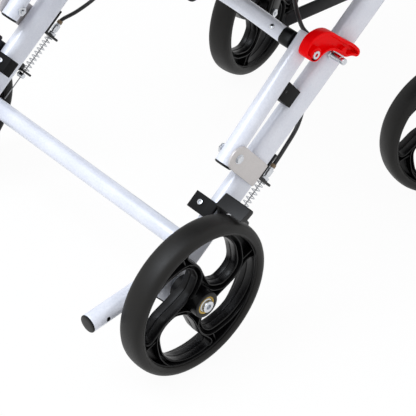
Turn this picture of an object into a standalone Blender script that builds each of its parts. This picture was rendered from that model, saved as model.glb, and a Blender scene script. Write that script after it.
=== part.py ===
"""Folding attendant wheelchair with four small wheels, as separate named pieces.

Metres, +Z up. The chair faces -Y and stands on z = 0. Its right-hand side is at -X.
A place is given as (side, out, fwd, up): side is -1 for the right and +1 for the left,
out is the distance from the middle, fwd is the distance ahead of the rear axle.
Along a rear leg a place is (along, over): along the leg's axis from the rear axle,
and over it, towards the back of the chair.
"""
import math

import bmesh
import bpy
from mathutils import Matrix, Vector

# Clearances
GAP = 0.0003
RUN = 0.0006
SIDES = {"right": -1, "left": 1}

# Main sizes: the rest follow from these
WHEEL_R = 0.100
LEG_ANGLE = math.radians(43.8)
LEG_OUT = 0.190
RAIL_Z = 0.480
STEM_FWD = 0.542
POST_LEN = 0.400

# Wheels
TYRE_HALF_W = 0.017
TYRE_SHOULDER = 0.013
TYRE_DEEP = 0.018
RIM_R = WHEEL_R - TYRE_DEEP
RIM_HALF_W = 0.0125
WEB_HALF_W = 0.0105
HUB_HALF_W = 0.022
HUB_R = 0.0125
AXLE_R = 0.004
WHEEL_SIDES = 28
HOLES = 4
HOLE_BIG_R = 0.0205
HOLE_BIG_AT = RIM_R - 0.0365
HOLE_TAIL_R = 0.005
HOLE_TAIL_AT = RIM_R - 0.012
HOLE_FIRST = math.radians(44)
HOLE_TAIL_TURN = math.radians(58)
REAR_WHEEL_OUT = LEG_OUT + 0.039

# Casters
STEM_OUT = LEG_OUT - 0.0005
TRAIL = 0.044
TOE_OUT = {"right": math.radians(16.6), "left": math.radians(12.8)}
CROWN_CLEAR = 0.0045
CROWN_Z = 2 * WHEEL_R + CROWN_CLEAR
CROWN_THICK = 0.008
FORK_WALL = 0.005
FORK_BOSS_R = 0.013
HOUSING_R = 0.015
HOUSING_TOP = CROWN_Z + 0.0575

# Rear legs: flat oval tube, in the line of the rear axle
LEG_HALF_W = 0.010
LEG_HALF_H = 0.018
LEG_CORNER = 0.0092
LEG_FOOT = -0.0265
HINGE_DROP = 0.0339
HINGE_ALONG = (RAIL_Z - HINGE_DROP - WHEEL_R) / math.sin(LEG_ANGLE)
TONGUE_FROM = HINGE_ALONG - 0.045
TONGUE_HALF_W = 0.004
TONGUE_R = 0.016
CROSSBAR_ALONG = 0.041
CROSSBAR_R = 0.0113
TIP_TUBE_R = 0.011
TIP_TUBE_END = (-0.123, WHEEL_R - 0.005)
TIP_TUBE_ROOT = (0.012, WHEEL_R + 0.0178)

# Lock frame: two round tubes on the rear legs, joined by an oval tube
PIVOT_ALONG = 0.153
PIVOT_OVER = 0.048
LOCK_TILT = math.radians(4.2)
LOCK_TUBE_R = 0.011
LOCK_TUBE_BELOW = 0.0165
LOCK_TUBE_ABOVE = 0.1575
BRACKET_THICK = 0.003
BRACKET_HALF = 0.015
BOLT_R = 0.004
CROSS_UP_TUBE = 0.142
CROSS_HALF_H = 0.0105
CROSS_HALF_W = 0.009
CROSS_BOW = 0.005
SOCKET_LEN = 0.015
SADDLE_ALONG = (0.233, 0.255)
SADDLE_OVER = 0.048

# Latches
PIN_ALONG = 0.310
PIN_OVER = 0.013
PIN_R = 0.004
PIN_REACH = 0.021
LEVER_PIVOT_UP_TUBE = 0.142
LEVER_THICK = 0.012

# Front frame
TUBE_R = 0.0125
RAIL_REAR = -0.012
FRONT_LEG_FOOT = (STEM_FWD - 0.011, HOUSING_TOP)
FRONT_LEG_HEAD = STEM_FWD - 0.093
RAIL_BEND = 0.060
CHEEK_THICK = 0.005
FRONT_CROSS_Z = RAIL_Z - 0.127
FRONT_CROSS_R = 0.011
LINK_OUT = LEG_OUT - 0.041
LINK_HALF_THICK = 0.002
LINK_HALF_H = 0.0085
LINK_EYE_R = 0.0155
LINK_REAR = 0.1865

# Footrests
HANGER_OUT = LEG_OUT - 0.025
HANGER_R = 0.010
HANGER_KNEE = (STEM_FWD + 0.153, 0.150)
HANGER_TOE = HANGER_KNEE[0] + 0.143
PLATE_THICK = 0.006
PLATE_FROM = HANGER_KNEE[0] + 0.017
PLATE_TO = PLATE_FROM + 0.112
PLATE_INNER = 0.014

# Seat, between the plates that carry the back posts and the struts
SIDE_PLATE_OUT = LEG_OUT + 0.008
SIDE_PLATE_FACE = SIDE_PLATE_OUT + 0.0047
SEAT_HALF_W = SIDE_PLATE_OUT - 0.001
SEAT_REAR = 0.024
SEAT_FRONT = FRONT_LEG_HEAD - 0.013
SEAT_EDGE = 0.014
SEAT_CROWN = 0.011

# Back and armrests
POST_R = 0.011
POST_FOOT_Z = RAIL_Z + 0.025
RECLINE = math.radians(10)
HANDLE_BEND = 0.030
HANDLE_END = -0.208
GRIP_R = 0.0155
GRIP_LEN = 0.098
BACK_FROM = 0.130
BACK_TO = POST_LEN - 0.015
BACK_EDGE = 0.007
BACK_CROWN = 0.009
ARM_UP_POST = 0.212
STRUT_FWD = 0.300
ARM_BAR_THICK = 0.006
ARM_BAR_HALF_H = 0.013
ARM_BAR_FRONT = 0.025
PAD_W = 0.037
PAD_H = 0.020
PAD_FROM = -0.008
PAD_TO = 0.272

# The rear axle's place, which puts the whole chair's middle at the origin
REAR_AXLE_Y = (HANGER_TOE + HANDLE_END) / 2

# Brakes
BRAKE_ALONG = WHEEL_R - 0.007
BRAKE_OVER = 0.002
ARM_PLATE_THICK = 0.004
SHOE_CLEAR = 0.0024
SHOE_TO = WHEEL_R + 0.015
SHOE_OUT = REAR_WHEEL_OUT + TYRE_HALF_W
CABLE_OVER = -0.037
CABLE_OUT = LEG_OUT + 0.001
TAB_ALONG = WHEEL_R - 0.0055
TAB_THICK = 0.003
STOP_ALONG = WHEEL_R + 0.050
STOP_THICK = 0.003
STOP_STRAP = 0.034
BARREL_R = 0.0045
BARREL_LEN = 0.017
MOUNT_ALONG = (BRAKE_ALONG - 0.015, BRAKE_ALONG + 0.006)
SPRING_R = 0.0046
SPRING_WIRE_R = 0.0006
SPRING_CURLS = 10
POINTS_PER_CURL = 8
CABLE_R = 0.0025
CABLE_STEP = 0.015
CABLE_LEAD = 0.006
LEVER_PIVOT = (HANDLE_END + 0.100, -0.020)
LEVER_REACH = 0.096
LUG_AHEAD = 0.010

# Cable routes, hand-chosen. CABLE_MEET is (out, fwd, up)
CABLE_MEET = (LEG_OUT - 0.0165, 0.095, RAIL_Z - 0.0035)
# Along the rear leg: (out from the leg, along, over)
CABLE_UP_LEG = [
    (-0.0030, 0.1971, -0.0455), (-0.0090, 0.2256, -0.0501), (-0.0165, 0.2516, -0.0418),
    (-0.0200, 0.2826, -0.0217), (-0.0210, 0.3105, 0.0139), (-0.0240, 0.3159, 0.0462),
]
# From there up to the rail: (out from the leg, fwd, share of the height)
CABLE_TO_RAIL = [
    (-0.0280, 0.1830, 0.297), (-0.0260, 0.1720, 0.609), (-0.0200, 0.1480, 0.875),
    (-0.0165, 0.1180, 0.973),
]
# Under and round the rail's rear end: (out from the leg, fwd, above the rail)
CABLE_ROUND_RAIL = [
    (-0.0165, 0.0500, -0.0035), (-0.0165, -0.0080, -0.0035), (-0.0100, -0.0300, 0.0050),
    (0.0100, -0.0330, 0.0320),
]
# Behind the back post: (share of its length, ahead of its axis)
CABLE_UP_POST = [(0.1485, -0.0200), (0.4007, -0.0164), (0.6548, -0.0168), (0.8573, -0.0157)]

COLOURS = {
    "silver": ((0.62, 0.63, 0.66), 0.35, 0.6),
    "plate": ((0.52, 0.51, 0.50), 0.40, 0.5),
    "black": ((0.012, 0.012, 0.013), 0.45, 0.0),
    "rubber": ((0.020, 0.020, 0.022), 0.60, 0.0),
    "red": ((0.75, 0.004, 0.006), 0.35, 0.0),
    "steel": ((0.55, 0.55, 0.56), 0.25, 1.0),
    "cloth": ((0.018, 0.018, 0.020), 0.85, 0.0),
}


def clear_scene():
    for obj in list(bpy.data.objects):
        bpy.data.objects.remove(obj)


def finish_of(colour):
    """One Principled material for each colour in use."""
    mat = bpy.data.materials.get(colour)
    if mat is None:
        base, rough, metal = COLOURS[colour]
        mat = bpy.data.materials.new(colour)
        mat.use_nodes = True
        shader = mat.node_tree.nodes["Principled BSDF"]
        shader.inputs["Base Color"].default_value = (*base, 1.0)
        shader.inputs["Roughness"].default_value = rough
        shader.inputs["Metallic"].default_value = metal
    return mat


# Places

def at(side, out, fwd, up):
    return Vector((side * out, REAR_AXLE_Y - fwd, up))


def leg_fwd_up(along, over):
    fwd = along * math.cos(LEG_ANGLE) - over * math.sin(LEG_ANGLE)
    up = WHEEL_R + along * math.sin(LEG_ANGLE) + over * math.cos(LEG_ANGLE)
    return fwd, up


def on_leg(side, out, along, over):
    return at(side, out, *leg_fwd_up(along, over))


def lock_place(distance, off=0.0):
    """(along, over) at a distance up the lock tube from its pivot, and off its axis."""
    along = PIVOT_ALONG + distance * math.cos(LOCK_TILT) - off * math.sin(LOCK_TILT)
    over = PIVOT_OVER + distance * math.sin(LOCK_TILT) + off * math.cos(LOCK_TILT)
    return along, over


def post_place(distance, off=0.0):
    """(fwd, up) at a distance up the back post from its pivot, and off ahead of it."""
    fwd = -distance * math.sin(RECLINE) + off * math.cos(RECLINE)
    up = POST_FOOT_Z + distance * math.cos(RECLINE) + off * math.sin(RECLINE)
    return fwd, up


def caster_place(name, out, back, up):
    """A place on a caster: out from and behind its stem, turned by its toe-out."""
    turn = TOE_OUT[name]
    dx = out * math.cos(turn) - back * math.sin(turn)
    dy = -out * math.sin(turn) - back * math.cos(turn)
    return at(SIDES[name], STEM_OUT + dx, STEM_FWD + dy, up)


# Outlines, as lists of (a, b)

def circle(radius, sides, centre=(0.0, 0.0), start=0.0):
    step = math.tau / sides
    return [(centre[0] + radius * math.cos(start + i * step),
             centre[1] + radius * math.sin(start + i * step)) for i in range(sides)]


def arc(centre, radius, first, last, steps):
    turn = (last - first) / steps
    return [(centre[0] + radius * math.cos(first + i * turn),
             centre[1] + radius * math.sin(first + i * turn)) for i in range(steps + 1)]


def rounded_box(half_a, half_b, corner, steps=3):
    points = []
    quarter = math.pi / 2
    for i, (sa, sb) in enumerate(((1, 1), (-1, 1), (-1, -1), (1, -1))):
        centre = (sa * (half_a - corner), sb * (half_b - corner))
        points += arc(centre, corner, i * quarter, (i + 1) * quarter, steps)
    return points


def hull_of_two(centre_1, radius_1, centre_2, radius_2, steps=7):
    """Outline of a belt round two circles, the first one the larger."""
    dx, dy = centre_2[0] - centre_1[0], centre_2[1] - centre_1[1]
    heading = math.atan2(dy, dx)
    spread = math.acos((radius_1 - radius_2) / math.hypot(dx, dy))
    big = arc(centre_1, radius_1, heading + spread, heading - spread + math.tau, steps)
    small = arc(centre_2, radius_2, heading - spread, heading + spread, steps // 2)
    return big + small


# Bodies

def make_object(name, bm, colour, origin, smooth=35):
    bmesh.ops.recalc_face_normals(bm, faces=bm.faces)
    bmesh.ops.translate(bm, verts=bm.verts, vec=-origin)
    mesh = bpy.data.meshes.new(name)
    bm.to_mesh(mesh)
    bm.free()
    mesh.materials.append(finish_of(colour))
    mesh.shade_smooth()
    mesh.set_sharp_from_angle(angle=math.radians(smooth))
    obj = bpy.data.objects.new(name, mesh)
    obj.location = origin
    bpy.context.scene.collection.objects.link(obj)
    return obj


def loft(name, rings, colour, origin=None, closed=False):
    """A closed body through rings of points; closed joins the last ring to the first."""
    bm = bmesh.new()
    rows = [[bm.verts.new(point) for point in ring] for ring in rings]
    count = len(rows[0])
    spans = len(rows) if closed else len(rows) - 1
    for i in range(spans):
        low, high = rows[i], rows[(i + 1) % len(rows)]
        for j in range(count):
            k = (j + 1) % count
            bm.faces.new((low[j], low[k], high[k], high[j]))
    if not closed:
        bm.faces.new(rows[0])
        bm.faces.new(rows[-1])
    return make_object(name, bm, colour, origin or Vector())


def slab(name, outline, place, low, high, colour, origin=None):
    """An outline given depth: place(a, b, depth) gives each point."""
    rings = [[place(a, b, depth) for a, b in outline] for depth in (low, high)]
    return loft(name, rings, colour, origin)


def turned(name, profile, centre, axis, colour, sides, origin=None):
    """A ring turned about an axis from a closed profile of (axial, radius)."""
    axis = axis.normalized()
    across = Vector((0, 0, 1)) if abs(axis.z) < 0.9 else Vector((0, 1, 0))
    rings = []
    for i in range(sides):
        spoke = Matrix.Rotation(math.tau * (i + 0.5) / sides, 3, axis) @ across
        rings.append([centre + axis * x + spoke * r for x, r in profile])
    return loft(name, rings, colour, origin or centre, closed=True)


def tube(name, path, radius, colour, sides=14, origin=None):
    """A round bar along a path of points, square to it at both ends."""
    rings = []
    for i, point in enumerate(path):
        before, after = path[max(i - 1, 0)], path[min(i + 1, len(path) - 1)]
        along = (after - before).normalized()
        guide = Vector((1, 0, 0)) if abs(along.x) < 0.8 else Vector((0, 0, 1))
        u = (guide - along * guide.dot(along)).normalized()
        v = along.cross(u)
        start = math.pi / sides
        rings.append([point + u * a + v * b for a, b in circle(radius, sides, start=start)])
    return loft(name, rings, colour, origin)


def bent(corners, radii, steps=5):
    """A path through corners, each inner corner rounded to its radius."""
    path = [corners[0]]
    for i in range(1, len(corners) - 1):
        corner = corners[i]
        before = (corners[i - 1] - corner).normalized()
        after = (corners[i + 1] - corner).normalized()
        half = before.angle(after) / 2
        radius = radii[i - 1]
        centre = corner + (before + after).normalized() * radius / math.sin(half)
        first = corner + before * radius / math.tan(half) - centre
        last = corner + after * radius / math.tan(half) - centre
        for k in range(steps + 1):
            spoke = first.normalized().slerp(last.normalized(), k / steps)
            path.append(centre + spoke * radius)
    path.append(corners[-1])
    return path


def operate(obj, other, kind):
    """Join another body to an object, or cut it away, and hide the other."""
    step = obj.modifiers.new(kind.lower(), "BOOLEAN")
    step.operation = kind
    step.solver = "EXACT"
    step.object = other
    other.hide_render = True
    other.display_type = "WIRE"


def weld(obj, *others):
    for other in others:
        operate(obj, other, "UNION")


def cut(obj, *others):
    for other in others:
        operate(obj, other, "DIFFERENCE")


def disc(name, side, out_low, out_high, fwd, up, radius, colour, sides=16):
    """A short round boss whose axis runs across the chair."""
    ends = [at(side, out_low, fwd, up), at(side, out_high, fwd, up)]
    return tube(name, ends, radius, colour, sides)


# Wheels

def wheel_outline():
    half = [(HUB_HALF_W, AXLE_R + RUN), (HUB_HALF_W, HUB_R), (WEB_HALF_W, HUB_R + 0.004),
            (RIM_HALF_W, RIM_R)]
    return half + [(-x, r) for x, r in reversed(half)]


def tyre_outline():
    """The tread is a flat of each facet that just reaches the wheel's radius."""
    tread = WHEEL_R / math.cos(math.pi / WHEEL_SIDES)
    half = [(RIM_HALF_W + 0.0015, RIM_R + GAP), (TYRE_HALF_W, WHEEL_R - 0.0130),
            (TYRE_HALF_W, WHEEL_R - 0.0085), (TYRE_SHOULDER, WHEEL_R - 0.0025),
            (TYRE_SHOULDER / 2, tread)]
    return half + [(-x, r) for x, r in reversed(half)]


def add_wheel(name, centre, axis):
    """A rim with its holes swept one way round as seen from outside, and its solid tyre."""
    rim = turned(f"{name}_wheel", wheel_outline(), centre, axis, "black", WHEEL_SIDES)
    up = Vector((0, 0, 1))
    hand = up.cross(axis)
    for k in range(HOLES):
        turn = HOLE_FIRST + k * math.tau / HOLES
        tail = turn + HOLE_TAIL_TURN
        outline = hull_of_two(
            (HOLE_BIG_AT * math.cos(turn), HOLE_BIG_AT * math.sin(turn)), HOLE_BIG_R,
            (HOLE_TAIL_AT * math.cos(tail), HOLE_TAIL_AT * math.sin(tail)), HOLE_TAIL_R)

        def place(a, b, depth):
            return centre + hand * a + up * b + axis * depth

        cutter = slab(f"{name}_hole_{k}", outline, place, -0.03, 0.03, "black")
        cut(rim, cutter)
    turned(f"{name}_tyre", tyre_outline(), centre, axis, "rubber", WHEEL_SIDES)


def add_rear_wheels():
    for name, side in SIDES.items():
        centre = at(side, REAR_WHEEL_OUT, 0, WHEEL_R)
        add_wheel(f"rear_{name}", centre, Vector((side, 0, 0)))
        face = LEG_OUT + LEG_HALF_W + GAP
        hub_in = REAR_WHEEL_OUT - HUB_HALF_W - GAP
        hub_out = REAR_WHEEL_OUT + HUB_HALF_W + GAP
        outline = [(face, 0), (face, 0.009), (hub_in, 0.009), (hub_in, AXLE_R),
                   (hub_out, AXLE_R), (hub_out, 0.0075), (hub_out + 0.004, 0.0055),
                   (hub_out + 0.004, 0)]
        bolt = []
        for out, radius in outline:
            sweep = circle(max(radius, 0.0002), 12)
            bolt.append([at(side, out, a, WHEEL_R + b) for a, b in sweep])
        loft(f"rear_{name}_axle", bolt, "steel", centre)


def add_casters():
    for name, side in SIDES.items():
        centre = caster_place(name, 0, TRAIL, WHEEL_R)
        axis = (caster_place(name, 1, TRAIL, WHEEL_R) - centre).normalized()
        add_wheel(f"front_{name}", centre, axis)
        add_fork(name, side)


def add_fork(name, side):
    """Crown, two legs and the axle of a caster fork, in one piece."""
    inner = HUB_HALF_W + 0.001
    outer = inner + FORK_WALL
    stem = at(side, STEM_OUT, STEM_FWD, 0)

    def crown_place(a, b, depth):
        return caster_place(name, a, b, depth)

    crown_top = CROWN_Z + CROWN_THICK
    crown = slab(f"front_{name}_fork", rounded_box(outer, 0.017, 0.006), crown_place,
                 CROWN_Z, crown_top, "black", stem)
    boss = (TRAIL, WHEEL_R)
    lean = math.atan2(CROWN_Z - WHEEL_R, TRAIL)
    under = arc(boss, FORK_BOSS_R, math.pi - lean + math.pi / 2, math.tau + math.pi / 2 - lean, 8)
    outline = [(-0.0150, crown_top - 0.002), *under, (0.0165, crown_top - 0.002)]
    for k, (low, high) in enumerate(((inner, outer - 0.0002), (-outer + 0.0002, -inner))):
        def leg_place(a, b, depth):
            return caster_place(name, depth, a, b)
        weld(crown, slab(f"fork_leg_{name}_{k}", outline, leg_place, low, high, "black"))
    pin_ends = [caster_place(name, -outer - 0.003, TRAIL, WHEEL_R),
                caster_place(name, outer + 0.003, TRAIL, WHEEL_R)]
    weld(crown, tube(f"fork_pin_{name}", pin_ends, AXLE_R, "steel", 12))


# Rear frame

def leg_ring(side, along, half_w, half_h, corner):
    outline = rounded_box(half_w, half_h, corner)
    return [on_leg(side, LEG_OUT + a, along, b) for a, b in outline]


def add_rear_legs():
    for name, side in SIDES.items():
        stations = [(LEG_FOOT, LEG_HALF_W, LEG_HALF_H, LEG_CORNER),
                    (TONGUE_FROM, LEG_HALF_W, LEG_HALF_H, LEG_CORNER),
                    (TONGUE_FROM + 0.006, TONGUE_HALF_W, TONGUE_R, 0.0015)]
        for k in range(4):
            lean = k * math.radians(24)
            stations.append((HINGE_ALONG + TONGUE_R * math.sin(lean), TONGUE_HALF_W,
                             TONGUE_R * math.cos(lean), 0.0012))
        leg = loft(f"rear_leg_{name}", [leg_ring(side, *s) for s in stations], "silver")
        tip_path = [at(side, LEG_OUT, *TIP_TUBE_ROOT), at(side, LEG_OUT, *TIP_TUBE_END)]
        weld(leg, tube(f"tip_tube_{name}", tip_path, TIP_TUBE_R, "silver", 14))
        reach = LEG_OUT + LEG_HALF_W + PIN_REACH
        pin_path = [on_leg(side, out, PIN_ALONG, PIN_OVER)
                    for out in (LEG_OUT, reach - 0.002, reach)]
        pin = tube(f"latch_pin_{name}", pin_path, PIN_R, "steel", 12)
        weld(leg, pin)


def add_crossbar():
    ends = LEG_OUT - LEG_HALF_W - GAP
    path = [on_leg(1, -ends, CROSSBAR_ALONG, 0), on_leg(1, ends, CROSSBAR_ALONG, 0)]
    tube("rear_crossbar", path, CROSSBAR_R, "silver")


def add_pivot_brackets():
    """Two plates and the pivot bolt that carries the lock frame on each leg."""
    for name, side in SIDES.items():
        face = LEG_HALF_W + 0.001 + GAP
        centre = (PIVOT_ALONG, PIVOT_OVER)
        outline = [(PIVOT_ALONG - BRACKET_HALF, -0.008), (PIVOT_ALONG + BRACKET_HALF, -0.008)]
        outline += arc(centre, BRACKET_HALF, 0, math.pi, 8)

        def place(a, b, depth):
            return on_leg(side, LEG_OUT + depth, a, b)

        body = slab(f"pivot_bracket_{name}", outline, place, face, face + BRACKET_THICK, "plate")
        mate = slab(f"bracket_inner_{name}", outline, place, -face - BRACKET_THICK, -face, "plate")
        ends = [on_leg(side, LEG_OUT + out, *centre)
                for out in (-face - BRACKET_THICK - 0.005, face + BRACKET_THICK + 0.0005)]
        bolt = tube(f"bracket_bolt_{name}", ends, BOLT_R, "steel", 12)
        head_ends = [on_leg(side, LEG_OUT + face + BRACKET_THICK + out, *centre)
                     for out in (-0.0005, 0.0015, 0.003)]
        head = tube(f"bracket_head_{name}", head_ends, 0.0065, "steel", 12)
        weld(body, mate, bolt, head)


def add_saddles():
    """Plastic blocks on the rear legs that the lock tubes rest in."""
    for name, side in SIDES.items():
        half = LEG_HALF_W - GAP
        outline = [(-half, LEG_HALF_H + GAP), (half, LEG_HALF_H + GAP),
                   (half, SADDLE_OVER), (-half, SADDLE_OVER)]

        def place(a, b, depth):
            return on_leg(side, LEG_OUT + a, depth, b)

        block = slab(f"saddle_clip_{name}", outline, place, *SADDLE_ALONG, "black")
        ends = [on_leg(side, LEG_OUT, *lock_place(d)) for d in (0.05, 0.14)]
        cut(block, tube(f"saddle_groove_{name}", ends, LOCK_TUBE_R + GAP, "black", 32))


# Lock frame

def add_lock_frame():
    pivot = on_leg(1, 0, PIVOT_ALONG, PIVOT_OVER)
    for name, side in SIDES.items():
        ends = [on_leg(side, LEG_OUT, *lock_place(d))
                for d in (-LOCK_TUBE_BELOW, LOCK_TUBE_ABOVE)]
        body = tube(f"lock_tube_{name}", ends, LOCK_TUBE_R, "silver", 18, pivot)
        bore = [on_leg(side, LEG_OUT + out, PIVOT_ALONG, PIVOT_OVER) for out in (-0.02, 0.02)]
        cut(body, tube(f"lock_bore_{name}", bore, BOLT_R + RUN, "silver", 24))
    add_lock_cross_tube(pivot)


def add_lock_cross_tube(pivot):
    """Oval tube between the lock tubes, with a plastic socket on each end."""
    socket_end = LEG_OUT - LOCK_TUBE_R - GAP
    socket_in = socket_end - SOCKET_LEN
    full = (CROSS_HALF_H, CROSS_HALF_W)
    slim = (CROSS_HALF_H - 0.0008, CROSS_HALF_W - 0.0008)
    stations = [(socket_end, 0, full), (socket_in, 0, full), (socket_in - 0.0002, 0, slim)]
    for share in (0.7, 0.4, 0.1):
        bow = CROSS_BOW * math.sin(math.pi * (1 - share) * 0.75)
        stations.append((socket_in * share, bow, slim))
    stations = [(-x, bow, size) for x, bow, size in stations] + list(reversed(stations))
    rings = []
    for out, bow, (half_h, half_w) in stations:
        outline = rounded_box(half_h, half_w, half_w * 0.8, 2)
        rings.append([on_leg(1, out, *lock_place(CROSS_UP_TUBE + bow + a, b))
                      for a, b in outline])
    loft("lock_cross_tube", rings, "silver", pivot)


def lever_outline():
    """Hook lever as (along, over) from its own pivot; its lower edge just clears the pin."""
    clear = PIN_ALONG + PIN_R + 0.001 - lever_pivot()[0]
    head = [(-0.0095, 0.0050), (-0.0105, 0.0120), (-0.0080, 0.0180), (0.0050, 0.0230),
            (0.0165, 0.0195), (0.0250, 0.0115), (0.0300, 0.0030)]
    back = [(0.0330, -0.0115), (0.0350, -0.0290), (0.0380, -0.0420), (0.0400, -0.0540)]
    tip = [(0.0400, -0.0680), (0.0370, -0.0730), (0.0315, -0.0730)]
    front = [(0.0280, -0.0600), (clear + 0.0010, -0.0535), (clear, -0.0370), (0.0165, -0.0220),
             (0.0120, -0.0150), (0.0030, -0.0110), (-0.0045, -0.0110), (-0.0075, -0.0050)]
    return head + back + tip + front


def lever_pivot():
    return lock_place(LEVER_PIVOT_UP_TUBE)


def add_latch_levers():
    along_0, over_0 = lever_pivot()
    for name, side in SIDES.items():
        face = LOCK_TUBE_R + GAP

        def place(a, b, depth):
            return on_leg(side, LEG_OUT + depth, along_0 + a, over_0 + b)

        origin = on_leg(side, LEG_OUT + face, along_0, over_0)
        lever = slab(f"latch_lever_{name}", lever_outline(), place, face,
                     face + LEVER_THICK, "red", origin)
        ends = [place(0, 0, face + LEVER_THICK - 0.001), place(0, 0, face + LEVER_THICK + 0.0015)]
        weld(lever, tube(f"lever_screw_{name}", ends, 0.005, "steel", 12))


# Front frame

def front_leg_fwd(up):
    """How far ahead the front leg's axis lies at a height."""
    foot_fwd, foot_up = FRONT_LEG_FOOT
    share = (up - foot_up) / (RAIL_Z - foot_up)
    return foot_fwd + share * (FRONT_LEG_HEAD - foot_fwd)


def add_side_frames():
    """Bent tube of front leg and seat rail, with the caster housing and hinge cheeks."""
    hinge = leg_fwd_up(HINGE_ALONG, 0)
    for name, side in SIDES.items():
        corners = [at(side, LEG_OUT, *FRONT_LEG_FOOT), at(side, LEG_OUT, FRONT_LEG_HEAD, RAIL_Z),
                   at(side, LEG_OUT, RAIL_REAR, RAIL_Z)]
        origin = at(side, LEG_OUT, *hinge)
        body = tube(f"side_frame_{name}", bent(corners, [RAIL_BEND], 6), TUBE_R, "silver",
                    16, origin)
        housing = [at(side, STEM_OUT, STEM_FWD, z)
                   for z in (CROWN_Z + CROWN_THICK + GAP, HOUSING_TOP)]
        weld(body, tube(f"caster_housing_{name}", housing, HOUSING_R, "black", 18))
        outline = arc(hinge, TONGUE_R + 0.0005, math.pi, math.tau, 8)
        outline += [(hinge[0] + 0.024, RAIL_Z), (hinge[0] - 0.024, RAIL_Z)]
        outer_low = TONGUE_HALF_W + RUN
        for k, low in enumerate((outer_low, -outer_low - CHEEK_THICK)):
            def place(a, b, depth):
                return at(side, LEG_OUT + depth, a, b)
            weld(body, slab(f"cheek_{name}_{k}", outline, place, low, low + CHEEK_THICK, "silver"))
        weld(body, side_plate(f"post_plate_{name}", side, 0.0, -0.011))
        weld(body, side_plate(f"strut_plate_{name}", side, STRUT_FWD, -0.020))


def side_plate(name, side, fwd, rear):
    """Upright plate on a seat rail, with the pivot of a post or a strut in it."""
    outline = arc((fwd, POST_FOOT_Z), 0.013, 0, math.pi, 6)
    outline += [(fwd + rear, RAIL_Z - 0.005), (fwd + 0.020, RAIL_Z - 0.005)]

    def place(a, b, depth):
        return at(side, depth, a, b)

    return slab(name, outline, place, SIDE_PLATE_OUT, SIDE_PLATE_FACE, "silver")


def add_front_cross_tube():
    ends = LEG_OUT - TUBE_R - GAP
    fwd = front_leg_fwd(FRONT_CROSS_Z)
    path = [at(1, out, fwd, FRONT_CROSS_Z) for out in (-ends, ends)]
    tube("front_cross_tube", path, FRONT_CROSS_R, "silver", 16)


def add_fold_links():
    """Flat bars from the front cross tube to the lock frame's cross tube."""
    pivot = (front_leg_fwd(FRONT_CROSS_Z), FRONT_CROSS_Z)
    rise = math.asin(LINK_HALF_H / LINK_EYE_R)
    outline = arc(pivot, LINK_EYE_R, -math.pi + rise, math.pi - rise, 14)
    outline += [(LINK_REAR, FRONT_CROSS_Z + LINK_HALF_H), (LINK_REAR, FRONT_CROSS_Z - LINK_HALF_H)]
    for name, side in SIDES.items():
        def place(a, b, depth):
            return at(side, LINK_OUT + depth, a, b)
        link = slab(f"fold_link_{name}", outline, place, -LINK_HALF_THICK, LINK_HALF_THICK,
                    "black", at(side, LINK_OUT, *pivot))
        eye = disc(f"link_eye_{name}", side, LINK_OUT - 0.01, LINK_OUT + 0.01, *pivot,
                   FRONT_CROSS_R + RUN, "black", 32)
        cut(link, eye)


def add_footrests():
    for name, side in SIDES.items():
        pivot_fwd = front_leg_fwd(FRONT_CROSS_Z)
        knee = at(side, HANGER_OUT, *HANGER_KNEE)
        cross = at(side, HANGER_OUT, pivot_fwd, FRONT_CROSS_Z)
        start = cross + (knee - cross).normalized() * (FRONT_CROSS_R + GAP)
        toe = at(side, HANGER_OUT, HANGER_TOE, HANGER_KNEE[1])
        tube(f"footrest_hanger_{name}", bent([start, knee, toe], [0.030], 4), HANGER_R,
             "silver", 16)
        add_footplate(name, side)


def add_footplate(name, side):
    """A flat plate with its hinge sleeve round the end of the hanger tube."""
    sleeve_in = HANGER_R + RUN
    sleeve_out = sleeve_in + 0.0035
    half = PLATE_THICK / 2
    lift = math.asin(half / sleeve_out)
    outer = arc((0, 0), sleeve_out, math.pi - lift, -math.pi + lift, 18)
    reach = HANGER_OUT - PLATE_INNER
    outline = [(-reach, half), *outer, (-reach, -half)]
    origin = at(side, HANGER_OUT, PLATE_FROM, HANGER_KNEE[1])

    def place(a, b, depth):
        return at(side, HANGER_OUT + a, depth, HANGER_KNEE[1] + b)

    plate = slab(f"footplate_{name}", outline, place, PLATE_FROM, PLATE_TO, "black", origin)
    ends = [at(side, HANGER_OUT, fwd, HANGER_KNEE[1]) for fwd in (PLATE_FROM - 0.01, PLATE_TO + 0.01)]
    cut(plate, tube(f"sleeve_bore_{name}", ends, sleeve_in, "black", 24))


# Soft parts

def cushion(name, place, half_w, low, high, edge, crown, colour, origin, ribs=0):
    """A padded panel: place(across, along, thick) with a crowned face and drawn-in sides."""
    columns, rows = 12, 14
    rings = []
    for i in range(rows + 1):
        v = i / rows
        pull = 1 - abs(2 * v - 1) ** 6
        along = low + (high - low) * v
        face, under = [], []
        for j in range(columns + 1):
            u = j / columns
            swell = (1 - abs(2 * u - 1) ** 4) * (1 - abs(2 * v - 1) ** 4)
            narrow = half_w * (0.985 + 0.015 * pull)
            across = (2 * u - 1) * narrow
            tuck = 0.0022 * sum(math.exp(-((v - (k + 1) / (ribs + 1)) / 0.03) ** 2)
                                for k in range(ribs)) if ribs else 0
            face.append(place(across, along, edge + crown * swell - tuck * swell))
            under.append(place(across, along, 0.0))
        rings.append(face + list(reversed(under)))
    return loft(name, rings, colour, origin)


def add_seat():
    base = RAIL_Z + TUBE_R + GAP

    def place(across, along, thick):
        return at(1, across, along, base + thick)

    cushion("seat_cushion", place, SEAT_HALF_W, SEAT_REAR, SEAT_FRONT, SEAT_EDGE, SEAT_CROWN,
            "cloth", at(1, 0, SEAT_REAR, base))


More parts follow.
